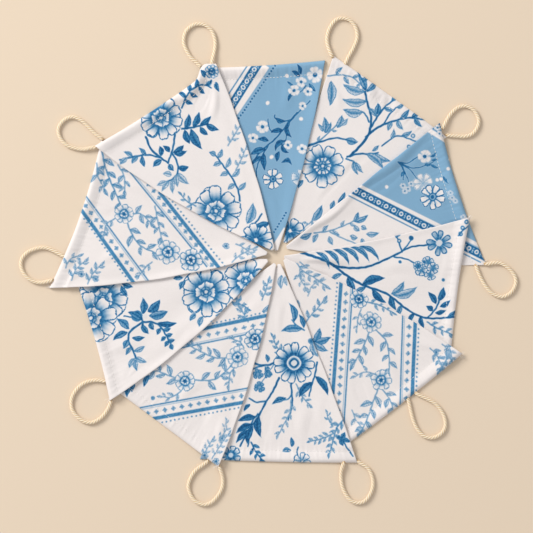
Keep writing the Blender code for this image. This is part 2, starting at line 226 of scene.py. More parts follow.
def cord_line(loop, node):
    """The middle of the cord, a little way into the hem at each end, and how thick it is there."""
    route = smooth_route(loop.route) + MIDDLE_GAP
    far = distance_along(route)
    start, end = shown_stretch(route, node)
    at = np.arange(max(start - CORD_REACH, 0.0), min(end + CORD_REACH, far[-1]), STRAND_STEP)
    rise = loop.start_lift * bell((at - start) / RISE_LENGTH) + loop.end_lift * bell((end - at) / RISE_LENGTH)
    inside = np.maximum(np.maximum(start - at, at - end), 0.0) / CORD_REACH
    full = 1.0 - (1.0 - TUCKED_SHARE) * np.clip(inside, 0.0, 1.0)
    line = np.stack([np.interp(at, far, route[:, 0]), np.interp(at, far, route[:, 1]),
                     CORD / 2 * full + CORD_LIFT + rise], axis=1)
    return line, at, full


def unit_rows(vectors):
    """Each row's direction, at length 1."""
    return vectors / np.linalg.norm(vectors, axis=-1, keepdims=True)


def twist_cord(name, line, at, full):
    """A mesh of the twisted strands round a line, with their yarn running along the UV map's V."""
    run = unit_rows(np.gradient(line, axis=0))
    side = unit_rows(np.cross(run, [0.0, 0.0, 1.0]))
    over = np.cross(side, run)
    corners, faces, across, depth = [], [], [], []
    around = np.arange(STRAND_SIDES) * 2 * math.pi / STRAND_SIDES
    for strand in range(STRANDS):
        turn = 2 * math.pi * (at / TURN_LENGTH + strand / STRANDS)
        out = side * np.cos(turn)[:, None] + over * np.sin(turn)[:, None]
        middle = line + out * (STRAND_OFF_AXIS * full)[:, None]
        ahead = unit_rows(np.gradient(middle, axis=0))
        off = unit_rows(out - ahead * (out * ahead).sum(1, keepdims=True))
        beside = np.cross(ahead, off)
        radius = (STRAND_RADIUS * full)[:, None, None]
        skin = middle[:, None] + radius * (off[:, None] * np.cos(around)[None, :, None]
                                           + beside[:, None] * np.sin(around)[None, :, None])
        first = sum(len(c) for c in corners)
        corners.append(skin.reshape(-1, 3))
        depth.append(np.linalg.norm(skin - line[:, None], axis=2).reshape(-1))
        rows, sides = skin.shape[:2]
        ring = first + np.arange(rows * sides).reshape(rows, sides)
        for row in range(rows - 1):
            for k in range(sides):
                n = (k + 1) % sides
                faces.append((ring[row, k], ring[row, n], ring[row + 1, n], ring[row + 1, k]))
                across.append([(k, at[row]), (k + 1, at[row]), (k + 1, at[row + 1]), (k, at[row + 1])])
        for end, order in ((0, -1), (rows - 1, 1)):
            faces.append(tuple(ring[end][::order]))
            across.append([(k, at[end]) for k in range(sides)][::order])
    mesh = bpy.data.meshes.new(name)
    mesh.from_pydata((np.concatenate(corners) * MM).tolist(), [], [tuple(int(i) for i in f) for f in faces])
    yarn = mesh.uv_layers.new(name="yarn")
    places = np.array([p for face in across for p in face], float)
    places = places / [STRAND_SIDES, TURN_LENGTH]
    yarn.data.foreach_set("uv", places.reshape(-1))
    # How far each point is from the cord's axis, which sets the painted shade in the grooves between the
    # strands.
    inner = mesh.attributes.new("rise_off_axis", "FLOAT", "POINT")
    inner.data.foreach_set("value", np.concatenate(depth) / (CORD / 2))
    mesh.shade_smooth()
    piece = bpy.data.objects.new(name, mesh)
    bpy.context.scene.collection.objects.link(piece)
    return piece


def add_node(tree, kind, output, inputs=None, **settings):
    """Adds a node and gives one of its outputs. An input is a value, or an output to join to it."""
    made = tree.nodes.new("ShaderNode" + kind)
    for name, value in settings.items():
        setattr(made, name, value)
    set_inputs(made, inputs or {})
    return made.outputs[output]


def colour_stops(ramp, stops):
    """Gives a ramp its colours, each at its place."""
    elements = ramp.node.color_ramp.elements
    for place, _ in stops[1:-1]:
        elements.new(place)
    for element, (place, colour) in zip(elements, stops):
        element.position = place
        element.color = dye_colour(*colour)


# Colours of the painted shade on the cord, from deep in the grooves out to the crowns of the strands.
CORD_GROOVE_SHADE_TONES = [(0.5, (168, 118, 62)), (0.74, (238, 208, 160)), (0.97, (255, 240, 216))]


def cord_material():
    """Undyed cotton yarn with fine fibres, with painted shade that deepens from the crowns of the strands into
    the grooves between them.
    """
    made = bpy.data.materials.new("undyed_cord")
    made.use_nodes = True
    tree = made.node_tree
    off_axis = add_node(tree, "Attribute", "Fac", attribute_name="rise_off_axis")
    # Painted shade: the ramp darkens the yarn where it lies deep between the strands, near the cord's axis.
    tone = add_node(tree, "ValToRGB", "Color", {"Fac": off_axis})
    colour_stops(tone, CORD_GROOVE_SHADE_TONES)
    uv = add_node(tree, "UVMap", "UV", uv_map="yarn")
    stretch = add_node(tree, "Mapping", "Vector", {"Scale": (14.0, 5.0, 1.0), "Vector": uv})
    fibres = add_node(tree, "TexNoise", "Fac", {"Scale": 1.6, "Detail": 4.0, "Vector": stretch})
    tint = add_node(tree, "Mix", "Result", {"Factor": 0.16, "A": tone, "B": fibres.node.outputs["Color"]},
                    data_type="RGBA", blend_type="MULTIPLY")
    bump = add_node(tree, "Bump", "Normal", {"Strength": 0.5, "Distance": 0.0004, "Height": fibres})
    set_inputs(tree.nodes["Principled BSDF"], {
        "Base Color": tint, "Roughness": 0.82, "Sheen Weight": 0.25, "Specular IOR Level": 0.25,
        "Normal": bump})
    return made


undyed = cord_material()
for loop in LOOPS:
    node = f"cord_loop_{loop.number:02d}"
    line, at, full = cord_line(loop, node)
    piece = twist_cord(f"twisted_cord_{loop.number:02d}", line, at, full)
    piece.data.materials.append(undyed)
    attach(piece, "root")
    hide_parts(node)


# Flags.
# Ten triangles of thin cotton, each with its top edge turned over round the cord and
# stitched down. They are laid clockwise from the second one, each over part of the last.
LAYOUT_CORNER = np.array([-267.85, 261.1])
TIP_WIDTH = 3.0
FLARE_AT = 0.92
FLARE_SHARE = 0.11
FLARE_DEPTH = 28.0
HEM_DEPTH = 15.0
LATTICE = 258
TIP_GAPS = 5
UNDER_STEP = 12
HEM_SAMPLE = 0.8
BODY_SAMPLE = 3.0
SAMPLE_COLUMNS = 72
EDGE_INSET = 0.35
THINNEST = 0.55
OVER_NEIGHBOUR = 0.15
EDGE_ROUND = 0.9
EDGE_DROP = 0.3
PUCKER = 0.15
STITCH_GROOVE = 0.18
CURL_REACH = 4.5
CURL_LEFT_OUT = 2.0
CURL_GROWS = 14.0
TIP_REACH = 12.0
CREASE_DEPTH = 1.5
CREASE_BEND = 0.09
CREASE_TAPER = 0.35
EDGE_WANDER = 0.28
WANDERS = 23.0
NEAR_SIDE = 0.006
TIP_SQUEEZE = 0.15
ABOVE_ALL = 0.1
GATHERS = [(0.83, 1.0, 1.0), (1.31, 2.1, 0.7), (0.47, 0.6, 0.5)]
GATHER_FADE = 7.0
GROOVE_WIDTH = 1.1
SWELL = 0.16


class Crease(NamedTuple):
    """A soft ridge, or a trough where its height is below 0, between two places of the layout."""

    start: tuple
    end: tuple
    width: float
    height: float


class Flag(NamedTuple):
    """A flag's outline from the middle gap, and its stitch line, lifted sides and creases."""

    number: int
    left: tuple
    right: tuple
    tip: tuple
    left_bow: float
    right_bow: float
    hem_bow: float
    flare: float
    stitch_inset: float
    curls: tuple
    creases: list


def turned(vector):
    """A vector turned a quarter turn to its left."""
    return np.array([-vector[1], vector[0]])


def unit(vector):
    """The vector's direction, at length 1."""
    return vector / np.linalg.norm(vector)


def box_smooth(values, reach, axis):
    """The mean of each value and its neighbours along one axis."""
    padding = [(reach, reach) if a == axis else (0, 0) for a in range(values.ndim)]
    padded = np.pad(values, padding, mode="edge")
    size = values.shape[axis]
    layers = [np.take(padded, range(k, k + size), axis=axis) for k in range(2 * reach + 1)]
    return np.mean(layers, axis=0)


def grid_sample(values, row, column):
    """Values read between the points of a grid."""
    row = np.clip(row, 0, values.shape[0] - 1.001)
    column = np.clip(column, 0, values.shape[1] - 1.001)
    r, c = row.astype(int), column.astype(int)
    dr, dc = row - r, column - c
    return ((values[r, c] * (1 - dc) + values[r, c + 1] * dc) * (1 - dr)
            + (values[r + 1, c] * (1 - dc) + values[r + 1, c + 1] * dc) * dr)


class Pile:
    """How high the cloth that is already laid stands, in cells of 1 mm over the whole layout."""

    def __init__(self):
        low, high = np.array(cad_box[0][:2]) / MM - 4, np.array(cad_box[1][:2]) / MM + 4
        self.low = low
        self.cells = np.zeros(np.ceil(high - low).astype(int) + 1)

    def add(self, places, heights):
        cell = np.round(places - self.low).astype(int)
        np.maximum.at(self.cells, (cell[:, 0], cell[:, 1]), heights)

    def under(self, places):
        """The highest cloth within about 1 mm of each place."""
        cell = np.round(places - self.low).astype(int)
        near = [self.cells[cell[..., 0] + i, cell[..., 1] + j] for i in (-1, 0, 1) for j in (-1, 0, 1)]
        return np.max(near, axis=0)


pile = Pile()


class LaidFlag:
    """A flag as it lies: its outline seen from above, and the height of its cloth."""

    def __init__(self, flag):
        self.flag = flag
        self.node = f"flag_{flag.number:02d}"
        left, right, tip = (np.array(p) + MIDDLE_GAP for p in (flag.left, flag.right, flag.tip))
        along = unit(right - left)
        out = turned(along)
        self.left, self.right, self.along, self.out = left, right, along, out
        self.tip_left, self.tip_right = tip - along * TIP_WIDTH / 2, tip + along * TIP_WIDTH / 2
        self.depth = abs(np.dot(tip - left, out))
        self.width = np.linalg.norm(right - left)
        hem = np.arange(0.0, HEM_DEPTH, HEM_SAMPLE)
        body = np.arange(HEM_DEPTH, self.depth + BODY_SAMPLE, BODY_SAMPLE)
        self.insets = np.append(hem, body)
        self.feel_solid()

    def side(self, start, end, bow, share, outward):
        """A place on a side, which bows out a little and wanders as a sewn edge does."""
        away = turned(unit(end - start)) * outward
        wander = EDGE_WANDER * np.sin(share * WANDERS + self.flag.number * 1.7) * np.sin(share * math.pi)
        bowing = bow * 4.0 * share * (1.0 - share) + wander
        return start + (end - start) * share[..., None] + away * bowing[..., None]

    def place(self, share, column):
        """Where a place of the cloth is, by its share of the way to the tip and across the flag."""
        flag = self.flag
        first = self.side(self.left, self.tip_left, flag.left_bow, share, -1.0)
        last = self.side(self.right, self.tip_right, flag.right_bow, share, 1.0)
        rim = flag.hem_bow * 4.0 * column * (1.0 - column) * (1.0 - share) ** 2
        bulge = bell((column - FLARE_AT) / FLARE_SHARE) * bell(share * self.depth / FLARE_DEPTH)
        rim = rim + flag.flare * bulge
        return first + (last - first) * column[..., None] + self.out * rim[..., None]

    def feel_solid(self):
        """Reads the top and the underside of the solid, and lays the cloth softly on them."""
        inset = EDGE_INSET / self.depth
        share = np.clip(self.insets / self.depth, inset, 1 - inset)
        column = np.linspace(0.0, 1.0, SAMPLE_COLUMNS)
        margin = NEAR_SIDE + TIP_SQUEEZE * share[:, None] ** 6
        near_edge = np.clip(column[None, :], margin, 1 - margin)
        share = np.repeat(share[:, None], SAMPLE_COLUMNS, axis=1)
        places = self.place(share, near_edge)
        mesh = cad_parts[self.node].data
        solid = BVHTree.FromPolygons([v.co for v in mesh.vertices], [p.vertices for p in mesh.polygons])
        high, low = np.zeros(share.shape), np.zeros(share.shape)
        for index in np.ndindex(share.shape):
            x, y = places[index] * MM
            top = solid.ray_cast(Vector((x, y, ABOVE_ALL)), Vector((0, 0, -1)))[0]
            under = solid.ray_cast(Vector((x, y, -ABOVE_ALL)), Vector((0, 0, 1)))[0]
            high[index] = top.z / MM if top else np.nan
            low[index] = under.z / MM if under else np.nan
        for values in (high, low):
            for row in values:
                known = np.nonzero(~np.isnan(row))[0]
                row[:] = np.interp(np.arange(len(row)), known, row[known]) if len(known) else np.nan
            known = ~np.isnan(values[:, 0])
            values[~known] = values[known][-1]
        hem_rows = len(np.arange(0.0, HEM_DEPTH, HEM_SAMPLE))
        soft = box_smooth(box_smooth(high, 2, 1), 2, 1)
        eased = box_smooth(box_smooth(soft, 3, 0), 3, 0)
        soft = soft + (eased - soft) * np.clip((self.insets - 3.0) / 3.0, 0.0, 1.0)[:, None]
        body = box_smooth(box_smooth(box_smooth(soft, 2, 0), 2, 0), 1, 1)
        mixed = np.clip((np.arange(len(self.insets)) - hem_rows) / 4.0, 0.0, 1.0)[:, None]
        high = soft * (1 - mixed) + body * mixed
        low = np.maximum(low, pile.under(places) + OVER_NEIGHBOUR)
        self.low = low
        self.high = np.maximum(high, low + THINNEST)

    def grid_row(self, share):
        return np.interp(share * self.depth, self.insets, np.arange(len(self.insets)))

    def under(self, share, column):
        """The height of the underside."""
        return grid_sample(self.low, self.grid_row(share), column * (SAMPLE_COLUMNS - 1))

    def curled(self, share, column):
        """How far the sides are lifted, unevenly, where they lie free on other cloth."""
        inset = share * self.depth
        across = self.width * (1 - share)
        lift = np.zeros(share.shape)
        for height, away, phase in zip(self.flag.curls, (column, 1 - column), (0.0, 2.0)):
            uneven = 0.75 + 0.25 * np.sin(inset * 0.11 + self.flag.number + phase)
            lift = lift + height * uneven * np.exp(-(away * across / CURL_REACH) ** 2)
        hem_end = np.clip((inset - CURL_LEFT_OUT) / CURL_GROWS, 0.0, 1.0)
        return lift * hem_end * np.clip((self.depth - inset) / TIP_REACH, 0.0, 1.0)

    def creased(self, places):
        """How far the creases lift or sink the cloth."""
        lift = np.zeros(places.shape[:-1])
        for crease in self.flag.creases:
            start, end = (LAYOUT_CORNER + np.array(p) * [1, -1] for p in (crease.start, crease.end))
            run = end - start
            length = np.linalg.norm(run)
            away = places - (start + end) / 2
            u = away @ (run / length) / (length / 2)
            v = away @ turned(run / length) + CREASE_BEND * length * u * u
            taper = crease.width / 2 * (1.0 + CREASE_TAPER * u)
            lift = lift + CREASE_DEPTH * crease.height * bell(u) * bell(v / taper)
        return lift

    def top(self, share, column, places):
        """The height of the printed side, with its creases, puckers and rounded edges."""
        height = grid_sample(self.high, self.grid_row(share), column * (SAMPLE_COLUMNS - 1))
        inset = share * self.depth
        across = column * self.width
        number = self.flag.number
        near_stitch = np.exp(-((inset - self.flag.stitch_inset) / GROOVE_WIDTH) ** 2)
        gathers = sum(size * np.sin(across * per_mm + phase * number) for per_mm, phase, size in GATHERS)
        fade = np.exp(-(np.maximum(inset - self.flag.stitch_inset, 0.0) / GATHER_FADE))
        body = np.clip(inset / 6.0, 0.25, 1.0) * fade
        height = height + PUCKER * 0.5 * gathers * body - STITCH_GROOVE * near_stitch
        swell = np.sin(places[..., 0] * 0.071 + number) * np.sin(places[..., 1] * 0.083 + 2 * number)
        curl = self.curled(share, column)
        height = height + SWELL * swell + self.creased(places) + curl
        rim_row = np.minimum(inset, (1 - share) * self.depth + 0.3)
        edge = np.minimum(rim_row, np.minimum(column, 1 - column) * self.width * (1 - share) + 0.02)
        height = height - EDGE_DROP * (1.0 - np.sqrt(1.0 - (1.0 - np.clip(edge / EDGE_ROUND, 0.0, 1.0)) ** 2))
        return np.maximum(height, self.under(share, column) + curl + THINNEST)


def lattice(gaps, last_gaps):
    """A triangle's rows of points, one fewer in each, as shares down and across, and their faces."""
    rows = gaps - last_gaps
    down, across, faces, first = [], [], [], 0
    for row in range(rows + 1):
        count = gaps - row + 1
        down.append(np.full(count, row / rows))
        across.append(np.linspace(0.0, 1.0, count))
        if row < rows:
            here = first + np.arange(count)
            below = first + count + np.arange(count - 1)
            faces.append(np.stack([here[:-1], below, here[1:]], axis=1))
            faces.append(np.stack([here[1:-1], below[:-1], below[1:]], axis=1))
        first += count
    return np.concatenate(down), np.concatenate(across), np.concatenate(faces)


def rim_order(gaps, last_gaps):
    """The points round a lattice: down its left side, over its tip, up its right side and back."""
    rows = gaps - last_gaps
    counts = gaps + 1 - np.arange(rows + 1)
    starts = np.concatenate([[0], np.cumsum(counts)[:-1]])
    tip = starts[-1] + np.arange(1, counts[-1])
    right = (starts + counts - 1)[-2::-1]
    hem = np.arange(gaps - 1, 0, -1)
    return np.concatenate([starts, tip, right, hem])


def cloth_mesh(laid):
    """A closed skin: the printed side, the edge all round, and a plainer underside."""
    share, column, faces = lattice(LATTICE, TIP_GAPS)
    places = laid.place(share, column)
    heights = laid.top(share, column, places)
    pile.add(places, heights)
    rim = rim_order(LATTICE, TIP_GAPS)
    within, sideways, _ = lattice(LATTICE // UNDER_STEP, 1)
    inside = (within > 0.02) & (within < 0.97) & (sideways > 0.001) & (sideways < 0.999)
    share_below = np.concatenate([share[rim], within[inside]])
    column_below = np.concatenate([column[rim], sideways[inside]])
    below = laid.place(share_below, column_below)
    around = list(range(len(rim)))
    flat = delaunay_2d_cdt([Vector(p) for p in below.tolist()], [], [around], 1, 1e-7)
    count = len(places)
    under = [tuple(count + flat[3][i][0] for i in face)[::-1] for face in flat[2]]
    step = np.roll(np.arange(len(rim)), -1)
    wall = np.stack([count + np.arange(len(rim)), count + step, rim[step], rim], axis=1)
    corners = np.concatenate([np.column_stack([places, heights]),
                              np.column_stack([below, laid.under(share_below, column_below)
                                               + laid.curled(share_below, column_below)])])
    mesh = bpy.data.meshes.new(f"cotton_flag_{laid.flag.number:02d}")
    mesh.from_pydata((corners * MM).tolist(), [], faces.tolist() + wall.tolist() + under)
    weave = mesh.uv_layers.new(name="weave")
    across = (corners[:, :2] - laid.left) @ laid.along
    down = -(corners[:, :2] - laid.left) @ laid.out
    corner_of = np.zeros(len(mesh.loops), dtype=np.int32)
    mesh.loops.foreach_get("vertex_index", corner_of)
    weave.data.foreach_set("uv", np.column_stack([across, down])[corner_of].reshape(-1))
    mesh.shade_smooth()
    return mesh, corners


# The print.
# The cotton is printed with blue flowers, sprigs and striped borders. Each motif is drawn
# here by its own shape, in mm right and down from the layout's upper left corner.
SOFT_EDGE = 0.7
HAND_WARP = 0.18
OUTLINE = 0.85
BOLD_OUTLINE = 1.1
BOLD_FROM = 9.0
INK_SPREAD = 0.45
INK_STEP = 0.4
LEAF_WIDTH = 0.36
VEINED_FROM = 3.4
VEIN = 0.35
RUN_ON = 3.0
BEADED_FROM = 15.0
SOLID_STRIPE = 3.6
DOUBLE_GAP = 1.9
DOUBLE_LINES = ((-1, 1.0, 0.3), (1, 1.4, 0.68))
FOIL_PITCH = 8.6
FOIL = 2.7
DOT_PITCH = 4.3
BORDER_DOT = 0.9


def evenly_spaced(route, step):
    """The same route with its points an even step apart."""
    far = distance_along(route)
    at = np.linspace(0.0, far[-1], max(int(far[-1] / step), 2))
    return np.column_stack([np.interp(at, far, route[:, i]) for i in (0, 1)])


class Print:
    """The printed pattern of one flag: how much ink, and how much blue ground, each point has."""

    def __init__(self, corners, ground=0.0):
        x, y = ((corners[:, :2] - LAYOUT_CORNER) * [1, -1]).T
        warp_x = np.sin(y * 0.83 + 1.7 * np.sin(x * 0.31))
        warp_y = np.sin(x * 0.77 + 1.9 * np.sin(y * 0.27))
        self.straight = np.column_stack([x, y])
        self.place = self.straight + HAND_WARP * np.column_stack([warp_x, warp_y])
        self.ink = np.zeros(len(corners))
        self.ground = np.full(len(corners), float(ground))

    def near(self, middle, reach):
        away = self.place - np.array(middle, float)
        found = np.nonzero((np.abs(away) < reach).all(axis=1))[0]
        return found, away[found]

    def dye(self, found, tone, inside, ground=0.0):
        """Prints a tone where a shape is, given how far inside it each point is."""
        cover = np.clip(inside / SOFT_EDGE + 0.5, 0.0, 1.0)
        self.ink[found] += (tone - self.ink[found]) * cover
        self.ground[found] += (ground - self.ground[found]) * cover

    def dot(self, middle, radius, tone=0.9):
        found, away = self.near(middle, radius + 1)
        self.dye(found, tone, radius - np.linalg.norm(away, axis=1))

    def dots(self, places, radius=0.9, tone=0.9):
        for place in places:
            self.dot(place, radius, tone)

    def stem(self, points, width=1.0, tone=0.85, end_width=None):
        """A line through its points, thinner towards its end."""
        route = evenly_spaced(smooth_route(points, 10), INK_STEP)
        far = distance_along(route)
        end_width = width * 0.75 if end_width is None else end_width
        middle = (route.min(axis=0) + route.max(axis=0)) / 2
        found, away = self.near(middle, np.ptp(route, axis=0).max() / 2 + width + 1)
        if not len(found):
            return
        gaps = np.linalg.norm((away + middle)[:, None] - route[None], axis=2)
        nearest = gaps.argmin(axis=1)
        taper = width + (end_width - width) * far[nearest] / far[-1]
        self.dye(found, tone, (taper + INK_SPREAD) / 2 - gaps.min(axis=1))

    def leaf(self, base, tip, width=None, tone=0.72, bend=0.08, vein=True):
        """A pointed leaf, deepest along its vein and paler beside it, with a drawn edge."""
        base, tip = np.array(base, float), np.array(tip, float)
        length = np.linalg.norm(tip - base)
        run = (tip - base) / length
        width = length * LEAF_WIDTH if width is None else width
        found, away = self.near((base + tip) / 2, length / 2 + width)
        away = away + (tip - base) / 2
        u = away @ run / length
        v = away @ turned(run) - bend * length * 4 * u * (1 - u)
        half = width / 2 * np.sin(math.pi * np.clip(u, 0, 1) ** 0.85)
        inside = np.where((u > -0.02) & (u < 1.02), half - np.abs(v), -9.0)
        across = np.abs(v) / np.maximum(half, 0.3)
        shade = tone + (1.08 - tone) * (0.34 - 0.95 * across) + np.where(v > 0, 0.04, -0.08)
        shade = shade + 0.05 * np.sin(u * length * 2.2 + np.abs(v) * 1.6)
        shade = np.where(inside < min(OUTLINE, width * 0.17), tone + 0.2, shade)
        if vein and width > VEINED_FROM:
            shade = np.where((np.abs(v) < VEIN) & (u < 0.85), tone + 0.28, shade)
        self.dye(found, np.clip(shade, 0, 1), inside)

    def leaves(self, *rows):
        """Leaves, each as its foot, its tip, its width and tone, and its bend where that is its own."""
        for x, y, tip_x, tip_y, *looks in rows:
            self.leaf((x, y), (tip_x, tip_y), *looks)

    def stems(self, *rows):
        for row in rows:
            self.stem(*row)

    def sprigs(self, *rows):
        for row in rows:
            self.sprig(*row)

    def sprig(self, points, leaf=5.0, pairs=4, tone=0.45, width=0.8, spread=45.0, start=0.1, lean=1.1):
        """A stem with leaves in turn on both sides of it and one at its end."""
        self.stem(points, width, tone + 0.08)
        route = smooth_route(points, 12)
        far = distance_along(route)
        for k in range(2 * pairs):
            at = (start + (1.0 - start) * (k + 0.5) / (2 * pairs)) * far[-1]
            here, ahead, behind = (np.array([np.interp(at + step, far, route[:, i]) for i in (0, 1)])
                                   for step in (0.0, 1.0, -1.0))
            run = unit(ahead - behind)
            turn = math.radians(spread + 9.0 * math.sin(k * 2.3)) * (1 if k % 2 else -1)
            heading = np.array([run[0] * math.cos(turn) - run[1] * math.sin(turn),
                                run[0] * math.sin(turn) + run[1] * math.cos(turn)])
            size = leaf * (1.35 - 0.35 * at / far[-1] + 0.12 * math.sin(k * 1.9))
            self.leaf(here, here + heading * size, size * 0.42, tone - 0.06, 0.08 if k % 2 else -0.08)
        run = unit(route[-1] - route[-3])
        self.leaf(route[-1], route[-1] + run * leaf * lean, leaf * 0.44, tone)

    def petal(self, base, heading, length, width, deep=0.6, pale=0.04, outline=0.85, notch=0.0):
        """A petal, deepest at its foot, with fine streaks and a drawn edge."""
        run = np.array([math.cos(heading), math.sin(heading)])
        base = np.array(base, float)
        found, away = self.near(base + run * length / 2, length / 2 + width)
        away = away + run * length / 2
        u = away @ run / length
        v = away @ turned(run)
        held = np.clip(u, 0.0, 1.0)
        half = width / 2 * held ** 0.6 * np.sqrt(1.0 - held ** 5)
        rim = (1.0 - u - notch * (1 - np.clip(np.abs(v) / (width / 3), 0, 1))) * length
        inside = np.where(u > 0.0, np.minimum(half - np.abs(v), rim * 0.9), -9.0)
        streaks = 0.14 * np.sin(v / width * 24.0) * np.clip(1.1 - 1.3 * held, 0.0, 1.0)
        shade = pale + (deep - pale) * np.clip(1.58 - 1.75 * held, 0.0, 1.0) ** 2.1 + streaks
        shade = np.where(inside < (BOLD_OUTLINE if length > BOLD_FROM else OUTLINE), outline, shade)
        self.dye(found, np.clip(shade, 0, 1), inside)

    def whorl(self, middle, radius, petals, turn=0.0, foot=0.1, **looks):
        """Petals all round a middle, a little uneven, each over the one before."""
        for k in range(petals):
            heading = turn + 2 * math.pi * (k + 0.12 * math.sin(k * 2.7 + turn)) / petals
            length = radius * (1.0 + 0.06 * math.sin(k * 3.1 + turn * 2))
            width = 2 * math.pi * radius / petals * looks.get("fullness", 0.95)
            base = np.array(middle) + np.array([math.cos(heading), math.sin(heading)]) * radius * foot
            self.petal(base, heading, length - radius * foot, width,
                       **{name: value for name, value in looks.items() if name != "fullness"})

    def bloom(self, middle, radius, petals=10, turn=0.0, rings=3):
        """A large open flower: broad outer petals, and a cup of inner ones round a dark middle."""
        if rings > 1:
            self.whorl(middle, radius * 0.96, petals - 2, turn + 0.4, deep=0.9, pale=0.0, fullness=1.0)
        self.whorl(middle, radius, petals, turn, deep=1.0, pale=0.0, notch=0.03, fullness=1.0)
        self.dot(middle, radius * 0.47, 0.8)
        cup = 6 if rings > 1 else 12
        self.whorl(middle, radius * 0.44, cup, turn + 0.7, deep=0.7, pale=0.0, outline=0.78, notch=0.06,
                   fullness=1.2)
        self.whorl(middle, radius * 0.22, 5, turn, deep=0.95, pale=0.35, outline=0.85)
        self.dot(middle, radius * 0.07, 0.1)

    def daisy(self, middle, radius, petals=12, turn=0.0, ring=0.36, deep=0.9, pale=0.0):
        """A flower of one whorl of narrow petals round a ring, beaded where it is large."""
        self.whorl(middle, radius, petals, turn, foot=ring * 0.5, deep=deep, pale=pale, fullness=1.05)
        self.dot(middle, radius * ring + 0.6, 0.88)
        self.dot(middle, radius * ring - 0.6, 0.4)
        if radius > BEADED_FROM:
            for k in range(2 * petals):
                heading = k * math.pi / petals
                away = np.array([math.cos(heading), math.sin(heading)]) * (radius * ring - 1.3)
                self.dot(np.array(middle) + away, 0.75, 0.0)
            self.dot(middle, radius * ring * 0.62, 0.92)
            self.dot(middle, radius * ring * 0.38, 0.08)
        else:
            self.dot(middle, radius * ring * 0.5, 0.92)

    def rose(self, middle, radius, tone=0.5, turn=0.0):
        """A small round flower: pale scalloped petals, an inner ring and a dark heart."""
        self.whorl(middle, radius, 9, turn, deep=tone + 0.05, pale=0.0, outline=tone, fullness=1.2)
        self.dot(middle, radius * 0.5, tone + 0.3)
        self.whorl(middle, radius * 0.42, 6, turn + 0.5, deep=0.3, pale=0.0, outline=tone + 0.1, fullness=1.3)
        self.dot(middle, radius * 0.17, min(tone + 0.42, 1.0))

    def blossom(self, middle, radius, petals=5, turn=0.0, deep=0.35, pale=0.02, outline=0.6, heart=0.85):
        """A simple little flower."""
        self.whorl(middle, radius, petals, turn, deep=deep, pale=pale, outline=outline, fullness=0.95)
        self.dot(middle, radius * 0.27, heart)

    def bar(self, start, end, width, tone=0.75, ground=0.0):
        """A straight stripe that runs on past both of its places."""
        start, end = np.array(start, float), np.array(end, float)
        run = unit(end - start)
        away = self.straight - start
        off = np.abs(away @ turned(run))
        along = away @ run
        far = np.linalg.norm(end - start)
        beyond = np.maximum(-along, along - far) - RUN_ON
        self.dye(np.arange(len(self.ink)), tone, np.minimum(width / 2 - off, -beyond), ground)

    def spaced(self, start, end, pitch):
        """Places along a straight line, about a pitch apart."""
        start, end = np.array(start, float), np.array(end, float)
        count = max(int(round(np.linalg.norm(end - start) / pitch)), 1)
        return [start + (end - start) * k / count for k in range(count + 1)]

    def quatrefoil(self, middle, radius, turn, tone=0.42):
        for k in range(4):
            heading = turn + k * math.pi / 2
            tip = np.array(middle) + radius * np.array([math.cos(heading), math.sin(heading)])
            self.leaf(middle, tip, radius * 0.8, tone, 0.0, vein=False)
        self.dot(middle, radius * 0.25, tone + 0.2)

    def border(self, solid, foils, double, dots):
        """A striped border: a solid stripe, a row of quatrefoils, a thin double line, a row of dots."""
        self.bar(*solid, SOLID_STRIPE, 0.68)
        run = np.array(solid[1]) - np.array(solid[0])
        turn = math.atan2(run[1], run[0])
        for place in self.spaced(*foils, FOIL_PITCH):
            self.quatrefoil(place, FOIL, turn)
        across = turned(unit(np.array(double[1], float) - np.array(double[0], float)))
        if np.dot(across, np.array(foils[0], float) - np.array(double[0], float)) > 0:
            across = -across
        for side, width, tone in DOUBLE_LINES:
            self.bar(*(np.array(end) + across * side * DOUBLE_GAP / 2 for end in double), width, tone)
        self.dots(self.spaced(*dots, DOT_PITCH), BORDER_DOT, 0.62)



THREADS_PER_MM = 2.2
WAVE_OF_A_THREAD = 0.314
SLUB_STRETCHES = ((0.12, 1.6, 1.0), (1.6, 0.12, 1.0))


def weave_group():
    """Fine plain weave: threads across and down, with slubs, from the flag's own map in mm."""
    group = bpy.data.node_groups.new("plain_weave", "ShaderNodeTree")
    group.interface.new_socket("Place", in_out="INPUT", socket_type="NodeSocketVector")
    for name in ("Threads", "Slubs"):
        group.interface.new_socket(name, in_out="OUTPUT", socket_type="NodeSocketFloat")
    place = group.nodes.new("NodeGroupInput").outputs["Place"]
    threads = [add_node(group, "TexWave", "Fac",
                        {"Scale": THREADS_PER_MM * WAVE_OF_A_THREAD, "Distortion": 0.6, "Vector": place},
                        bands_direction=direction) for direction in ("X", "Y")]
    slubs = []
    for stretch in SLUB_STRETCHES:
        stretched = add_node(group, "Mapping", "Vector", {"Scale": stretch, "Vector": place})
        slubs.append(add_node(group, "TexNoise", "Fac", {"Scale": 1.0, "Detail": 3.0, "Vector": stretched}))
    woven = add_node(group, "Math", "Value", {0: threads[0], 1: threads[1]}, operation="MULTIPLY")
    both = add_node(group, "Math", "Value", {0: slubs[0], 1: slubs[1]}, operation="ADD")
    set_inputs(group.nodes.new("NodeGroupOutput"), {"Threads": woven, "Slubs": both})
    return group


INKS = [
    (0.00, (239, 233, 232)),
    (0.22, (186, 203, 219)),
    (0.45, (123, 163, 195)),
    (0.66, (63, 132, 178)),
    (0.85, (21, 98, 150)),
    (1.00, (10, 73, 121)),
]
GROUND_BLUE = (130, 173, 205)
plain_weave = weave_group()


def in_range(tree, value, low, high, least, most):
    """A value between low and high turned into one between least and most."""
    return add_node(tree, "MapRange", "Result", {
        "From Min": low, "From Max": high, "To Min": least, "To Max": most, "Value": value})


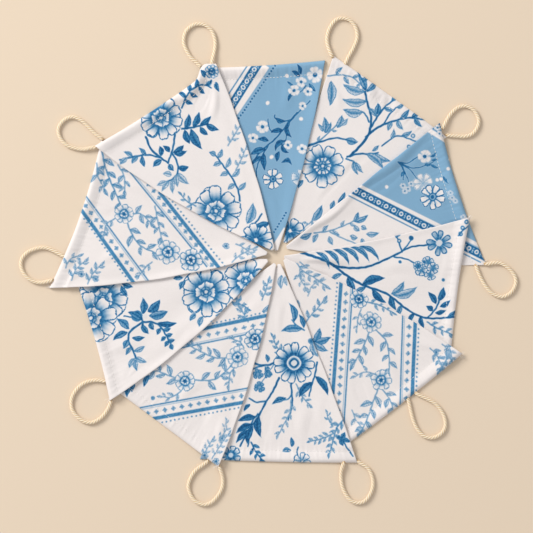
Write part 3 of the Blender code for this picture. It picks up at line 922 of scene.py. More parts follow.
def printed_cotton(name):
    """Matt printed cotton: the ink's tone, the blue ground, the weave's bump with painted shade between its
    threads, and a little unevenness.
    """
    made = bpy.data.materials.new(name)
    made.use_nodes = True
    tree = made.node_tree
    ink = add_node(tree, "Attribute", "Fac", attribute_name="ink")
    ground = add_node(tree, "Attribute", "Fac", attribute_name="blue_ground")
    uv = add_node(tree, "UVMap", "UV", uv_map="weave")
    threads = add_node(tree, "Group", "Threads", node_tree=plain_weave)
    set_inputs(threads.node, {"Place": uv})
    slubs = threads.node.outputs["Slubs"]
    blotch = add_node(tree, "TexNoise", "Fac", {"Scale": 0.45, "Detail": 5.0, "Vector": uv})
    uneven = in_range(tree, blotch, 0.3, 0.7, 0.84, 1.1)
    inked = add_node(tree, "Math", "Value", {0: ink, 1: uneven}, operation="MULTIPLY", use_clamp=True)
    dyed = add_node(tree, "ValToRGB", "Color", {"Fac": inked})
    colour_stops(dyed, INKS)
    over = add_node(tree, "Mix", "Result", {"Factor": ground, "A": dyed, "B": dye_colour(*GROUND_BLUE)},
                    data_type="RGBA")
    # Painted shade: the colour darkens where the weave's threads dip, beside the bump from the same threads,
    # and the slubs tint it at random.
    weave_shade = in_range(tree, threads, 0.0, 1.0, 0.93, 1.02)
    slub_tint = in_range(tree, slubs, 0.7, 1.3, 0.97, 1.02)
    weave_shade_and_slubs = add_node(tree, "Math", "Value", {0: weave_shade, 1: slub_tint}, operation="MULTIPLY")
    tinted = add_node(tree, "VectorMath", "Vector", {0: over, "Scale": weave_shade_and_slubs}, operation="SCALE")
    height = add_node(tree, "Math", "Value", {0: threads, 1: slubs}, operation="ADD")
    bump = add_node(tree, "Bump", "Normal", {"Strength": 0.35, "Distance": 0.00015, "Height": height})
    set_inputs(tree.nodes["Principled BSDF"], {
        "Base Color": tinted, "Roughness": 0.88, "Specular IOR Level": 0.2, "Sheen Weight": 0.18,
        "Normal": bump})
    return made


COTTONS = {f"{ground}_print": printed_cotton(f"{ground}_printed_cotton") for ground in ("white", "blue")}


# Stitches and loose threads.
# White sewing thread holds each hem down in a row of short stitches, and a few cut threads
# stand out of the corners where the cloth's edge is raw.
STITCH = 2.5
STITCH_PITCH = 3.6
THREAD_RADIUS = 0.26
TUBE_SIDES = 6


def tube(line, radii):
    """A tube's corners and faces along a line, closed at both ends."""
    run = unit_rows(np.gradient(line, axis=0))
    side = unit_rows(np.cross(run, [0.02, 0.03, 1.0]))
    over = np.cross(side, run)
    around = np.arange(TUBE_SIDES) * 2 * math.pi / TUBE_SIDES
    skin = line[:, None] + radii[:, None, None] * (side[:, None] * np.cos(around)[None, :, None]
                                                   + over[:, None] * np.sin(around)[None, :, None])
    ring = np.arange(len(line) * TUBE_SIDES).reshape(len(line), TUBE_SIDES)
    faces = [(ring[r, k], ring[r, (k + 1) % TUBE_SIDES], ring[r + 1, (k + 1) % TUBE_SIDES], ring[r + 1, k])
             for r in range(len(line) - 1) for k in range(TUBE_SIDES)]
    faces += [tuple(ring[0][::-1]), tuple(ring[-1])]
    return skin.reshape(-1, 3), faces


def sewing_thread():
    """White polished thread with a fine twist, its darker bands painted shade between the plies."""
    made = bpy.data.materials.new("white_thread")
    made.use_nodes = True
    tree = made.node_tree
    place = add_node(tree, "TexCoord", "Object")
    twist = add_node(tree, "TexWave", "Fac", {"Scale": 700.0, "Vector": place}, bands_direction="DIAGONAL")
    # Painted shade: the twist's darker bands stand in for the shade between the plies.
    tint = add_node(tree, "ValToRGB", "Color", {"Fac": twist})
    colour_stops(tint, [(0.0, (222, 218, 214)), (1.0, (250, 248, 246))])
    set_inputs(tree.nodes["Principled BSDF"], {"Base Color": tint, "Roughness": 0.6})
    return made


white_thread = sewing_thread()


def thread_piece(name, tubes):
    """One piece from a list of tubes."""
    corners, faces, first = [], [], 0
    for skin, tube_faces in tubes:
        corners.append(skin)
        faces += [tuple(int(i) + first for i in face) for face in tube_faces]
        first += len(skin)
    mesh = bpy.data.meshes.new(name)
    mesh.from_pydata((np.concatenate(corners) * MM).tolist(), [], faces)
    mesh.shade_smooth()
    mesh.materials.append(white_thread)
    piece = bpy.data.objects.new(name, mesh)
    bpy.context.scene.collection.objects.link(piece)
    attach(piece, "root")
    return piece


def hem_stitches(laid, first=0.02, last=0.98):
    """Short stitches along the hem's inner edge, each dipping into the cloth at both ends."""
    share = laid.flag.stitch_inset / laid.depth
    tubes = []
    count = int((last - first) * laid.width / STITCH_PITCH)
    for k in range(count):
        middle = first + (last - first) * (k + 0.5) / count
        t = np.linspace(-1, 1, 5)
        column = middle + t * STITCH / 2 / laid.width
        drift = 0.12 * math.sin(k * 1.3 + laid.flag.number)
        shares = np.full(5, share + drift / laid.depth)
        places = laid.place(shares, column)
        heights = laid.top(shares, column, places) - 0.05 + 0.2 * (1 - t ** 2)
        radii = THREAD_RADIUS * np.array([0.45, 0.9, 1.0, 0.9, 0.45])
        tubes.append(tube(np.column_stack([places, heights]), radii))
    return thread_piece(f"hem_stitches_{laid.flag.number:02d}", tubes)


def loose_threads(laid, corner, headings, length):
    """A few thin threads that curl out of a corner of the flag, just above what lies under it."""
    share, column = np.array([corner[0]]), np.array([corner[1]])
    start = laid.place(share, column)[0]
    height = laid.under(share, column)[0] + 0.4
    tubes = []
    for k, heading in enumerate(headings):
        t = np.linspace(0.0, 1.0, 9)
        size = length * (0.75 + 0.4 * math.sin(k * 2.1) ** 2)
        turn = math.radians(heading) + (0.9 if k % 2 else -0.7) * t ** 1.5
        steps = np.column_stack([np.cos(turn), -np.sin(turn)]) * size / 8
        offset = np.array([math.cos(k * 2.4), math.sin(k * 2.4)]) * 0.8
        line = start + offset + np.concatenate([[[0.0, 0.0]], np.cumsum(steps[:-1], axis=0)])
        rise = height + 0.5 * np.sin(t * math.pi) * (1 + 0.3 * k % 2)
        tubes.append(tube(np.column_stack([line, rise]), np.full(9, 0.17) * (1.1 - 0.5 * t)))
    return thread_piece(f"loose_threads_{laid.flag.number:02d}_{int(corner[1] * 10):02d}", tubes)


def finish_flag(laid, mesh, pattern, slot, extras):
    """Puts the print on the cloth, gives it its printed cotton, and shows the piece in place of its solid."""
    count = len(mesh.vertices)
    for name, values in (("ink", pattern.ink), ("blue_ground", pattern.ground)):
        attribute = mesh.attributes.new(name, "FLOAT", "POINT")
        attribute.data.foreach_set("value", values[:count])
    mesh.materials.append(COTTONS[slot])
    piece = bpy.data.objects.new(mesh.name, mesh)
    bpy.context.scene.collection.objects.link(piece)
    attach(piece, "root")
    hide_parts(laid.node)


# Flag 2.
# White cotton with a scalloped flower and dark branches. It is laid first and lies under
# both its neighbours, and its hem has soft dents.
laid = LaidFlag(Flag(
    2, (52.3, 200.3), (166, 119), (3.5, 13.5), 3, 0.5, 0.5, 0, 10.5, (0.3, 0),
    [Crease((352, 68), (362, 98), 15, -1), Crease((368, 78), (376, 106), 14, 0.8),
     Crease((388, 90), (390, 114), 13, -0.8), Crease((332, 84), (344, 112), 12, 0.5),
     Crease((310, 200), (360, 150), 20, 0.5), Crease((300, 214), (392, 130), 12, -0.3)]))
mesh, corners = cloth_mesh(laid)
pattern = Print(corners)
pattern.sprig([(328, 76), (341, 75), (353, 78), (362, 86)], 8, 2, 0.5, 1)
pattern.leaf((331, 81), (330, 106), 9, 0.5, -0.06)
pattern.sprig([(306, 146), (319, 141), (328, 133), (338, 124)], 5, 1, 0.5, 1.2, lean=1.6)
pattern.stem([(306, 147), (320, 142), (336, 138), (350, 141)], 1.4, 0.9)
pattern.leaves((325, 133, 324, 117, 6.5, 0.55), (325, 133, 331, 122, 4.5, 0.5),
               (323, 132, 318, 124, 4, 0.42), (337, 128, 342, 115, 6.5, 0.5),
               (340, 126, 348, 118, 4.5, 0.36), (346, 139, 358, 142, 7.5, 0.6))
pattern.stems(([(350, 156), (361, 145), (369, 133), (371, 117), (367, 102), (364, 88), (358, 72)],
               2.2, 0.92, 1.2), ([(366, 137), (377, 128), (391, 122), (409, 118), (430, 121)], 1.9, 0.9, 0.9),
              ([(370, 129), (378, 116), (386, 106), (397, 98)], 1.5, 0.88),
              ([(382, 146), (391, 139), (400, 136), (417, 142)], 1.1, 0.85))
pattern.leaves((401, 136, 412, 131, 4.5, 0.5), (391, 139, 394, 129, 4.2, 0.45))
pattern.stems(([(384, 124), (389, 115), (396, 108)], 1.1, 0.85),
              ([(369, 122), (365, 114), (358, 110)], 1.1, 0.85))
pattern.leaves((363, 112, 343, 109, 9, 0.46, -0.14), (367, 101, 342, 99, 8.5, 0.46, -0.12),
               (365, 92, 343, 84, 8.5, 0.46, -0.12), (366, 90, 358, 76, 6.5, 0.6),
               (376, 115, 378, 103, 6.5, 0.66), (366, 92, 377, 80, 5.5, 0.6), (362, 82, 371, 70, 5, 0.6),
               (377, 117, 367, 108, 4.5, 0.5), (384, 108, 394, 110, 4.5, 0.55),
               (391, 102, 398, 91, 4.5, 0.6), (397, 98, 409, 98, 4.5, 0.6), (392, 122, 388, 131, 5, 0.45),
               (397, 120, 403, 130, 5, 0.42), (400, 119, 409, 109, 5, 0.6), (411, 118, 420, 110, 5, 0.66),
               (414, 118, 422, 127, 4.5, 0.6), (396, 108, 404, 104, 4, 0.5))
pattern.dots([(413, 136), (409, 147)], 2.3, 0.6)
pattern.dots([(413, 136), (409, 147)], 1, 0.1)
pattern.stem([(347, 157), (358, 154), (368, 154), (378, 153)], 1.5, 0.88)
pattern.leaves((369, 153, 391, 161, 7.5, 0.48), (366, 154, 383, 169, 7.5, 0.48, -0.12),
               (372, 151, 379, 145, 3.8, 0.5))
pattern.stem([(346, 159), (354, 162), (359, 170)], 1.1, 0.85)
pattern.leaves((353, 161, 358, 175, 4.5, 0.45), (356, 162, 363, 173, 4.5, 0.45))
pattern.bloom((322.6, 166), 22, 9, 0.25, rings=1)
pattern.leaf((312, 221), (322, 205), 7.5, 0.55)
pattern.sprig([(316, 218), (306, 226), (299, 233)], 5, 2, 0.45)
pattern.leaves((330, 209, 334, 200, 4.5, 0.55), (338, 203, 345, 192, 5, 0.62), (303, 180, 298, 188, 5, 0.6))
pattern.whorl((290, 231), 14, 7, 0.6, deep=0.8, pale=0)
pattern.blossom((304, 149), 5.5, 5, 0.3, 0.2, 0, 0.4)
finish_flag(laid, mesh, pattern, "white_print", [hem_stitches(laid)])


# Flag 1.
# Light blue cotton with a white and dark striped border across its left corner, white
# flowers and a dark scrolled branch.
def flowered_band(pattern, start, end, width, pitch):
    """A dark stripe with a row of small white flowers and specks along it."""
    pattern.bar(start, end, width, 0.86)
    places = pattern.spaced(start, end, pitch)
    for k, place in enumerate(places):
        pattern.dot(place, width * 0.27, 0)
        pattern.dot(place, width * 0.13, 0.72)
        if k:
            between = (place + places[k - 1]) / 2
            across = turned(unit(place - places[k - 1])) * width * 0.24
            pattern.dots([between - across, between + across * 0.9], 0.62, 0.15)
            pattern.dot(between, 0.7, 0.1)


laid = LaidFlag(Flag(
    1, (-81, 188), (44, 195.5), (-4.5, 5.5), 0.5, 4, -1.5, 0, 12.5, (0, 0.8),
    [Crease((246, 62), (250, 92), 15, 0.4), Crease((290, 72), (286, 118), 16, 0.45),
     Crease((312, 76), (304, 120), 14, -0.4), Crease((268, 190), (282, 228), 14, 0.4)]))
mesh, corners = cloth_mesh(laid)
pattern = Print(corners, 1)
pattern.bar((248, 50), (216, 96), 32, 0)
pattern.bar((248, 65), (228, 95), 1.3, 0.62)
pattern.bar((262.5, 67), (234, 109), 12, 0)
flowered_band(pattern, (258, 64), (232, 105), 8.8, 7.4)
pattern.dots(pattern.spaced((275, 66), (237, 121), 3.4), 1.25, 0.88)
pattern.stems(([(310, 101), (303, 108), (298, 113), (291, 121)], 1.3, 0.86),
              ([(297, 113), (288, 123), (283, 130), (273, 141), (262, 150), (252, 163)], 1.8, 0.88),
              ([(268, 146), (261, 158), (257, 167), (256, 182)], 1.4, 0.86),
              ([(290, 121), (287, 132), (286, 139), (282, 148)], 1.2, 0.86),
              ([(290, 120), (281, 122), (275, 118), (275, 115)], 1.6, 0.86),
              ([(282, 131), (273, 132), (269, 127), (268, 119)], 1.3, 0.86))
pattern.leaves((285, 121, 275, 117, 5.5, 0.86, -0.2), (283, 130, 270, 133, 5.5, 0.86),
               (288, 124, 293, 138, 5, 0.86, 0.25), (286, 140, 275, 152, 5.5, 0.86, 0.2),
               (282, 143, 290, 153, 4.5, 0.86, 0.25), (279, 151, 277, 162, 5.5, 0.86),
               (266, 149, 250, 155, 7, 0.8), (264, 153, 265, 171, 6, 0.86, 0.05),
               (262, 156, 251, 166, 4.5, 0.86), (269, 141, 257, 139, 5.5, 0.86),
               (281, 163, 292, 166, 5.5, 0.86, -0.4), (300, 77, 291, 71, 5, 0.86),
               (301, 75, 297, 64, 4.5, 0.86), (295, 90, 286, 81, 3.5, 0.7), (293, 92, 288, 102, 4, 0.8),
               (309, 83, 316, 92, 5, 0.7))
pattern.stem([(306, 86), (300, 92), (293, 94)], 1.2, 0.86)
for place, radius, turn in (((315, 75), 8.2, 0.2), ((301, 82), 5.2, 1), ((294, 90.5), 5.6, 0.5),
                            ((308, 91.5), 4.6, 0.8), ((302.5, 106), 4, 1.4), ((262.5, 127), 6.4, 0.4),
                            ((253, 138), 5, 1.1), ((288, 145), 4.4, 0.2), ((302, 149), 5, 0.9)):
    pattern.blossom(place, radius, 8 if radius > 8 else 5, turn, 0.12, 0, 0.1, 0.84)
pattern.daisy((273, 179), 10.6, 8, 0.3, ring=0.27, deep=0.1)
pattern.dots([(267.5, 103), (287, 76), (301, 119), (271.5, 157)], 1.9, 0)
pattern.whorl((300, 178), 9, 5, 2.2, deep=0.4, pale=0.1, outline=0.6)
pattern.dots(pattern.spaced((286, 213), (274, 232), 3.4), 1.25, 0.88)
pattern.bar((287, 233), (270, 260), 11, 0)
finish_flag(laid, mesh, pattern, "blue_print", [hem_stitches(laid)])


# Flag 3.
# Cotton with a light blue ground to its hem and a white ground to its tip, with the
# flowered stripe between them. Its left edge is rolled up a little.
laid = LaidFlag(Flag(
    3, (158.5, 133), (205.2, -9.1), (5.5, 8.6), 0.5, 5, -3.5, 0, 11.5, (1.6, 0),
    [Crease((436, 134), (352, 196), 16, 0.9), Crease((430, 150), (340, 214), 22, -0.6),
     Crease((360, 196), (300, 238), 10, 0.8), Crease((470, 190), (420, 206), 18, 0.5)]))
mesh, corners = cloth_mesh(laid)
pattern = Print(corners, 1)
pattern.bar((255, 191), (499, 315), 92, 0)
pattern.bar((361, 187), (486, 249), 3.6, 0)
flowered_band(pattern, (356, 191), (484, 256), 8.6, 8.6)
pattern.bar((351, 197), (478, 261), 1.3, 0.6)
pattern.bar((434, 122), (450, 134), 14, 0.86)
pattern.bar((431, 132), (452, 145), 4.2, 0)
for place in ((437, 128), (443, 132), (439, 134)):
    pattern.blossom(place, 3.4, 5, 0.4, 0.12, 0, 0.1, 0.8)
for route in ([(398, 162), (408, 163), (417, 157), (422, 154)],
              [(398, 162), (412, 168), (424, 166), (433, 162)],
              [(399, 163), (410, 170), (418, 180)], [(399, 163), (405, 173), (411, 187)],
              [(399, 163), (404, 170), (403, 180)]):
    pattern.stem(route, 1.2, 0.84)
pattern.leaves((430, 157, 437, 152, 3.2, 0.75), (431, 160, 438, 159, 3.2, 0.75),
               (430, 164, 439, 168, 3.2, 0.75), (424, 164, 431, 165, 3.2, 0.75),
               (404, 171, 401, 178, 3.2, 0.75), (443, 176, 449, 184, 3.2, 0.75))
pattern.blossom((424.5, 156.5), 6.6, 5, 0.6, 0.14, 0, 0.1, 0.86)
pattern.whorl((423, 183), 10, 7, 3.4, deep=0.2, pale=0, outline=0.35, fullness=0.9)
pattern.daisy((432.5, 197), 13, 9, 0.2, ring=0.28, deep=0.14)
for place in ((403, 186), (408, 189), (411, 184), (405, 191)):
    pattern.blossom(place, 2.9, 4, 0.6, 0.3, 0, 0.2, 0.8)
pattern.dots([(386.5, 187), (448, 169), (441, 179), (437, 180), (450, 159), (402, 149)], 1.7, 0)
for place in ((452, 198), (450, 193), (455, 201), (463, 217), (467, 220)):
    pattern.blossom(place, 2.6, 4, 0.2, 0.3, 0, 0.2, 0.7)
pattern.sprig([(314, 233), (329, 231), (343, 226), (354, 221)], 7, 2, 0.45, 1.1)
pattern.leaves((354, 222, 358, 212, 5, 0.5), (355, 222, 368, 215, 5.5, 0.5), (361, 226, 367, 229, 5, 0.4),
               (354, 226, 360, 231, 5, 0.4), (366, 234, 379, 233, 5.5, 0.42))
pattern.stem([(330, 232), (342, 238), (352, 242), (362, 246)], 1, 0.5)
pattern.leaves((350, 236, 358, 238, 5.5, 0.42), (362, 238, 364, 245, 4, 0.4), (300, 238, 312, 233, 6, 0.5),
               (318, 234, 313, 243, 5, 0.42), (329, 236, 333, 245, 5, 0.4))
finish_flag(laid, mesh, pattern, "blue_print",
            [hem_stitches(laid), loose_threads(laid, (0.005, 0.97), (-12, 10, 38, 60), 5)])


# Flag 4.
# White cotton with a long dark branch that carries striped leaves, berries and a star
# flower. A soft fold runs out from its tip.
laid = LaidFlag(Flag(
    4, (188.4, 38.6), (169, -109), (3.2, -1), -3.2, 0.5, -2.2, 0, 9.5, (0.9, 0),
    [Crease((296, 256), (352, 262), 13, 1.1), Crease((300, 268), (344, 284), 12, -0.6),
     Crease((452, 240), (440, 296), 14, 0.4), Crease((460, 300), (430, 330), 16, -0.5),
     Crease((372, 270), (420, 262), 20, 0.4)]))
mesh, corners = cloth_mesh(laid)
pattern = Print(corners)
pattern.stems(([(300, 252), (328, 262), (346, 275), (363, 285), (387, 294), (408, 310), (427, 318), (456, 317)],
               2.2, 0.92, 1.3),
              ([(334, 266), (350, 268), (366, 267), (380, 262), (397, 254), (411, 247), (428, 245)],
               1.9, 0.92, 1.2), ([(402, 252), (399, 243), (397, 237)], 1.1, 0.88),
              ([(403, 250), (409, 243), (412, 238)], 0.9, 0.85),
              ([(394, 257), (406, 259), (416, 264)], 1.1, 0.85))
for k in range(6):
    foot = np.array([316 + 8.6 * k, 252 - 1.6 * k + 0.1 * k * k])
    pattern.leaf(foot, foot + [13 + 1.4 * k, 16.5 - 0.4 * k], 5, 0.62, -0.17)
pattern.leaves((348, 276, 356, 292, 7, 0.8), (362, 285, 385, 278, 8.5, 0.86, -0.1),
               (366, 287, 353, 297, 5.5, 0.62), (372, 289, 386, 303, 6.5, 0.86),
               (342, 274, 330, 281, 5, 0.55), (390, 296, 396, 310, 6, 0.8), (402, 305, 398, 318, 5, 0.6),
               (391, 294, 404, 281, 7, 0.5, 0.14), (393, 295, 417, 287, 9, 0.46, 0.12),
               (436, 304, 428, 292, 6, 0.84), (438.5, 301, 443.5, 287, 6.5, 0.84),
               (440, 307, 450, 300, 5, 0.84), (435, 313, 446, 310, 4.5, 0.84),
               (433, 311, 426, 306, 5, 0.84))
pattern.stem([(439.5, 299), (437, 306), (433, 312), (427, 318)], 1.3, 0.9)
pattern.leaves((414, 313, 409, 324, 4.6, 0.8), (420, 316, 424, 328, 4.8, 0.84),
               (447, 317, 456, 310, 4.2, 0.7))
pattern.sprig([(427, 322), (437, 328), (451, 334)], 6, 3, 0.5, 1.1)
pattern.whorl((439, 243), 13, 8, 0.2, deep=0.7, pale=0.3, outline=0.85, fullness=0.75)
pattern.dot((439, 243), 3.2, 0.12)
for place, radius in (((428, 262), 6), ((433, 268), 6), ((421, 270), 6.4), ((430, 275), 5.6)):
    pattern.blossom(place, radius, 5, radius, 0.5, 0.05, 0.82, 0.7)
pattern.rose((418, 266), 5.2, 0.6)
pattern.leaf((396, 238), (398, 229), 5.4, 0.55)
pattern.dot((411, 238), 2.4, 0.86)
for place in ((399, 241), (462, 228), (466, 222), (460, 234)):
    pattern.dot(place, 2.2, 0.75)
    pattern.dot(place, 0.9, 0.1)
pattern.stem([(468, 226), (462, 231), (458, 236)], 0.9, 0.85)
for place in ((424, 262), (443, 280), (400, 262)):
    pattern.dot(place, 1.6, 0.8)
pattern.sprig([(300, 262), (310, 272), (318, 280)], 5, 2, 0.4)
finish_flag(laid, mesh, pattern, "white_print",
            [hem_stitches(laid), loose_threads(laid, (0.004, 0.01), (-100, -62, -35, -80, -140), 5)])


# Flag 5.
# White cotton with two striped borders that run down to the hem, roses between them and
# pale sprigs outside.
laid = LaidFlag(Flag(
    5, (181, -97.6), (59, -193), (3.4, -3.4), 6, 0.8, 2, 0, 12.5, (0.9, 0),
    [Crease((402, 392), (378, 352), 22, 0.7), Crease((372, 420), (352, 372), 18, -0.5),
     Crease((440, 352), (400, 334), 16, 0.5), Crease((326, 300), (352, 350), 14, 0.4)]))
mesh, corners = cloth_mesh(laid)
pattern = Print(corners)
pattern.sprigs(([(296, 262), (303, 271), (313, 277), (325, 285)], 7, 4, 0.4, 1),
               ([(300, 268), (300, 278), (306, 288)], 6, 3, 0.36, 0.9),
               ([(306, 322), (312, 314), (318, 308), (323, 301)], 6.8, 3, 0.44, 0.9))
pattern.leaves((298, 300, 299, 312, 5, 0.4), (314, 342, 320, 328, 7, 0.6), (314, 342, 331, 337, 7, 0.62),
               (314, 342, 328, 351, 7, 0.5), (314, 342, 311, 341, 7, 0.5))
pattern.sprig([(308, 296), (312, 286), (320, 280)], 4.5, 2, 0.36, 0.8)
pattern.border(((341, 283), (333, 391)), ((346, 294), (338, 410)), ((351.5, 289), (343, 423)),
               ((337.2, 283), (329.3, 383)))
pattern.border(((415, 324), (412, 396)), ((409, 327), (406, 398)), ((403.5, 316), (401, 402)),
               ((418.5, 329), (416, 390)))
pattern.sprigs(([(376, 330), (386, 341), (389, 357), (389, 372)], 9, 3, 0.42, 1.1),
               ([(370, 330), (364, 345), (355, 362)], 9.5, 3, 0.42, 1.1),
               ([(361, 309), (358, 318), (357, 328)], 5, 2, 0.4),
               ([(378, 389), (373, 402), (369, 414), (362, 430)], 10, 3, 0.42, 1.2),
               ([(383, 390), (390, 400), (393, 410)], 8.5, 2, 0.4, 1),
               ([(352, 410), (356, 420), (362, 428)], 6.5, 2, 0.36, 0.9),
               ([(366, 302), (379, 305), (392, 312)], 5.5, 3, 0.5, 1),
               ([(376, 374), (365, 372), (356, 376)], 6, 2, 0.4))
pattern.rose((359, 299), 9.5, 0.6)
pattern.rose((371, 322), 10.5, 0.45, 0.4)
pattern.rose((381, 380), 10.5, 0.5, 0.8)
pattern.sprigs(([(430, 348), (437, 356), (442, 368)], 6.6, 3, 0.42, 0.9),
               ([(442, 344), (450, 352), (452, 362)], 6.4, 3, 0.42, 0.9),
               ([(450, 351), (445, 361), (440, 370)], 5.6, 3, 0.45, 0.9))
pattern.blossom((447, 349), 3.4, 5, 0.2, 0.4, 0.1, 0.5)
pattern.blossom((436, 352), 3, 5, 0.8, 0.4, 0.1, 0.5)
finish_flag(laid, mesh, pattern, "white_print",
            [hem_stitches(laid), loose_threads(laid, (0.004, 0.01), (-20, 10, 42, -50, 70), 5.5)])


# Flag 6.
# White cotton with a large daisy, dark leaves and trailing sprigs.
laid = LaidFlag(Flag(
    6, (76.3, -206.5), (-81, -203), (-1.8, -8), 2.6, 0.5, 1, 0, 11, (0.8, 0),
    [Crease((300, 446), (304, 398), 20, 0.6), Crease((262, 452), (268, 400), 18, -0.5),
     Crease((322, 432), (316, 392), 16, 0.4), Crease((276, 340), (282, 290), 12, 0.35)]))
mesh, corners = cloth_mesh(laid)
pattern = Print(corners)
pattern.dot((202, 459), 9, 0.42)
pattern.leaves((282, 275, 281, 289, 6, 0.35), (285, 276, 287, 286, 4, 0.3))
pattern.stem([(304, 330), (297, 326), (292, 320)], 1.1, 0.8)
pattern.leaves((294, 322, 289, 303, 6.5, 0.66, 0.16), (303, 329, 281, 331, 7.5, 0.62),
               (304, 328, 299, 314, 5, 0.7))
pattern.sprig([(283, 356), (277, 347), (273, 338)], 5.5, 3, 0.5, 0.9)
pattern.stems(([(278, 361), (268, 365), (256, 364), (250, 358)], 1.7, 0.9),
              ([(266, 365), (258, 367), (250, 370)], 1.2, 0.88))
pattern.leaves((268, 362, 266, 354, 4.2, 0.6), (275, 360, 280, 353, 3.6, 0.5))
pattern.stem([(277, 361), (270, 370), (262, 382)], 0.8, 0.6)
for place, radius in (((258, 374), 5.4), ((268, 374), 4.2), ((259.5, 387), 5.6), ((267, 369), 2.8)):
    pattern.blossom(place, radius, 6, radius, 0.7, 0.5, 0.8, 0.5)
pattern.stems(([(279, 378), (273, 391), (266, 402), (258, 417), (249, 430), (240, 446)], 1.7, 0.92, 1.1),
              ([(258, 414), (252, 422), (250, 434), (248, 446)], 1.2, 0.88),
              ([(266, 401), (256, 402), (249, 398)], 1.2, 0.88))
pattern.leaves((250, 404, 244, 411, 4, 0.8), (256, 417, 238, 421, 6.5, 0.86),
               (259, 416, 261, 437, 7.5, 0.86, 0.12), (253, 424, 236, 433, 6.5, 0.9),
               (250, 430, 236, 443, 6, 0.86), (253, 426, 247, 444, 6.5, 0.86))
pattern.stem([(291, 384), (292, 396), (292, 406), (288, 420)], 1.4, 0.86)
pattern.sprigs(([(291, 400), (290, 412), (284, 424), (279, 434)], 5.6, 4, 0.4, 1),
               ([(296, 384), (302, 396), (309, 404)], 5.4, 3, 0.45, 0.9))
pattern.leaf((286, 398), (272, 404), 5.4, 0.72)
pattern.stems(([(292, 394), (288, 399), (284, 400)], 1, 0.8),
              ([(317, 362), (315, 374), (312, 384), (309, 396)], 1.3, 0.86))
pattern.leaves((312, 382, 299, 397, 7.6, 0.84), (315, 376, 328, 395, 7, 0.84, -0.1),
               (312, 341, 316, 324, 7.5, 0.6), (312, 341, 329, 338, 7.5, 0.6),
               (312, 341, 327, 356, 7.5, 0.5), (312, 341, 318, 357, 7.5, 0.4))
pattern.rose((311, 341), 3.2, 0.6)
pattern.daisy((294, 363), 21, 12, 0.1, ring=0.37)
pattern.sprigs(([(345, 418), (337, 427), (333, 440), (330, 452)], 6.2, 5, 0.52, 1.2),
               ([(334, 433), (323, 438), (312, 441)], 5.4, 4, 0.5, 1),
               ([(338, 424), (330, 422), (327, 414)], 5, 2, 0.45, 0.9))
pattern.leaves((341, 437, 345, 432, 4.6, 0.7), (341, 437, 337, 438, 4.6, 0.7),
               (341, 437, 351, 441, 4.6, 0.7), (341, 437, 343, 446, 4.6, 0.7))
pattern.stem([(341, 437), (346, 446), (353, 456)], 1.1, 0.86)
pattern.whorl((231, 455), 10, 7, 0.4, deep=0.8, pale=0.1, outline=0.88)
pattern.dot((231, 455), 2.4, 0.2)
pattern.sprig([(251, 442), (256, 452), (262, 459)], 6, 3, 0.8, 1.1)
pattern.leaves((292, 447, 291, 437, 4.4, 0.7), (291, 450, 282, 451, 5, 0.6))
pattern.stem([(298, 447), (297, 453), (299, 459)], 1, 0.85)
pattern.whorl((302, 461), 9, 7, 0.2, deep=0.3, pale=0, outline=0.8)
finish_flag(laid, mesh, pattern, "white_print", [hem_stitches(laid)])


# Flag 7.
# White cotton with two striped borders across it and a rose vine between them.
laid = LaidFlag(Flag(
    7, (-62.5, -210.5), (-171.7, -129.3), (-6, -7.8), 6.5, 0.5, 0, 0, 10, (1.1, 0),
    [Crease((172, 404), (206, 372), 18, 0.6), Crease((196, 430), (220, 386), 16, -0.5),
     Crease((214, 446), (228, 410), 14, 0.5), Crease((236, 330), (258, 296), 12, 0.35)]))
mesh, corners = cloth_mesh(laid)
pattern = Print(corners)
pattern.sprigs(([(248, 322), (240, 306), (236, 294)], 6.8, 4, 0.44, 0.9),
               ([(262, 300), (266, 290), (268, 282)], 6.2, 3, 0.42, 0.9))
pattern.leaf((262, 312), (270, 304), 4.6, 0.4)
pattern.sprig([(232, 302), (240, 304), (247, 308)], 5, 2, 0.55, 1)
pattern.border(((197, 330), (264, 316)), ((182, 340), (262, 324)), ((178, 347.5), (263, 330)),
               ((200, 326), (264, 312.5)))
pattern.sprigs(([(183, 380), (170, 376), (157, 371), (146, 373)], 9.5, 3, 0.42, 1.1),
               ([(194, 380), (212, 380), (223, 374), (232, 364)], 9.5, 3, 0.42, 1.2),
               ([(232, 357), (218, 358), (206, 354), (190, 346)], 9, 4, 0.42, 1.1),
               ([(236, 366), (230, 374), (229, 384)], 6.5, 2, 0.4, 1),
               ([(181, 391), (172, 397), (163, 397)], 6, 2, 0.4, 1),
               ([(244, 348), (240, 342), (232, 339)], 5.5, 2, 0.45, 1))
pattern.rose((185, 381), 10.5, 0.5)
pattern.rose((237.5, 357), 11, 0.42, 0.5)
pattern.rose((255, 339), 11, 0.6, 0.2)
pattern.dot((153, 398), 2.2, 0.6)
pattern.border(((156, 418), (250, 401)), ((148, 413), (250, 394)), ((143, 408), (250, 388.5)),
               ((158, 423), (247, 406)))
pattern.sprigs(([(198, 462), (206, 450), (212, 440)], 5.2, 4, 0.36, 0.8),
               ([(212, 458), (220, 446), (228, 434)], 5.2, 4, 0.36, 0.8),
               ([(219, 440), (226, 430), (226, 422)], 4.8, 3, 0.34, 0.8))
pattern.leaves((149, 375, 144, 387, 5, 0.66), (134, 382, 132, 392, 5, 0.66), (130, 385, 127, 397, 5, 0.66),
               (128, 388, 120, 392, 5, 0.66))
pattern.blossom((205, 455), 3.6, 5, 0.2, 0.4, 0.1, 0.5)
pattern.blossom((216, 461), 3.6, 5, 0.7, 0.4, 0.1, 0.5)
pattern.blossom((222, 438), 3, 5, 0.7, 0.4, 0.1, 0.5)
finish_flag(laid, mesh, pattern, "white_print",
            [hem_stitches(laid), loose_threads(laid, (0.004, 0.012), (100, 130, 160, 60, 85), 5)])


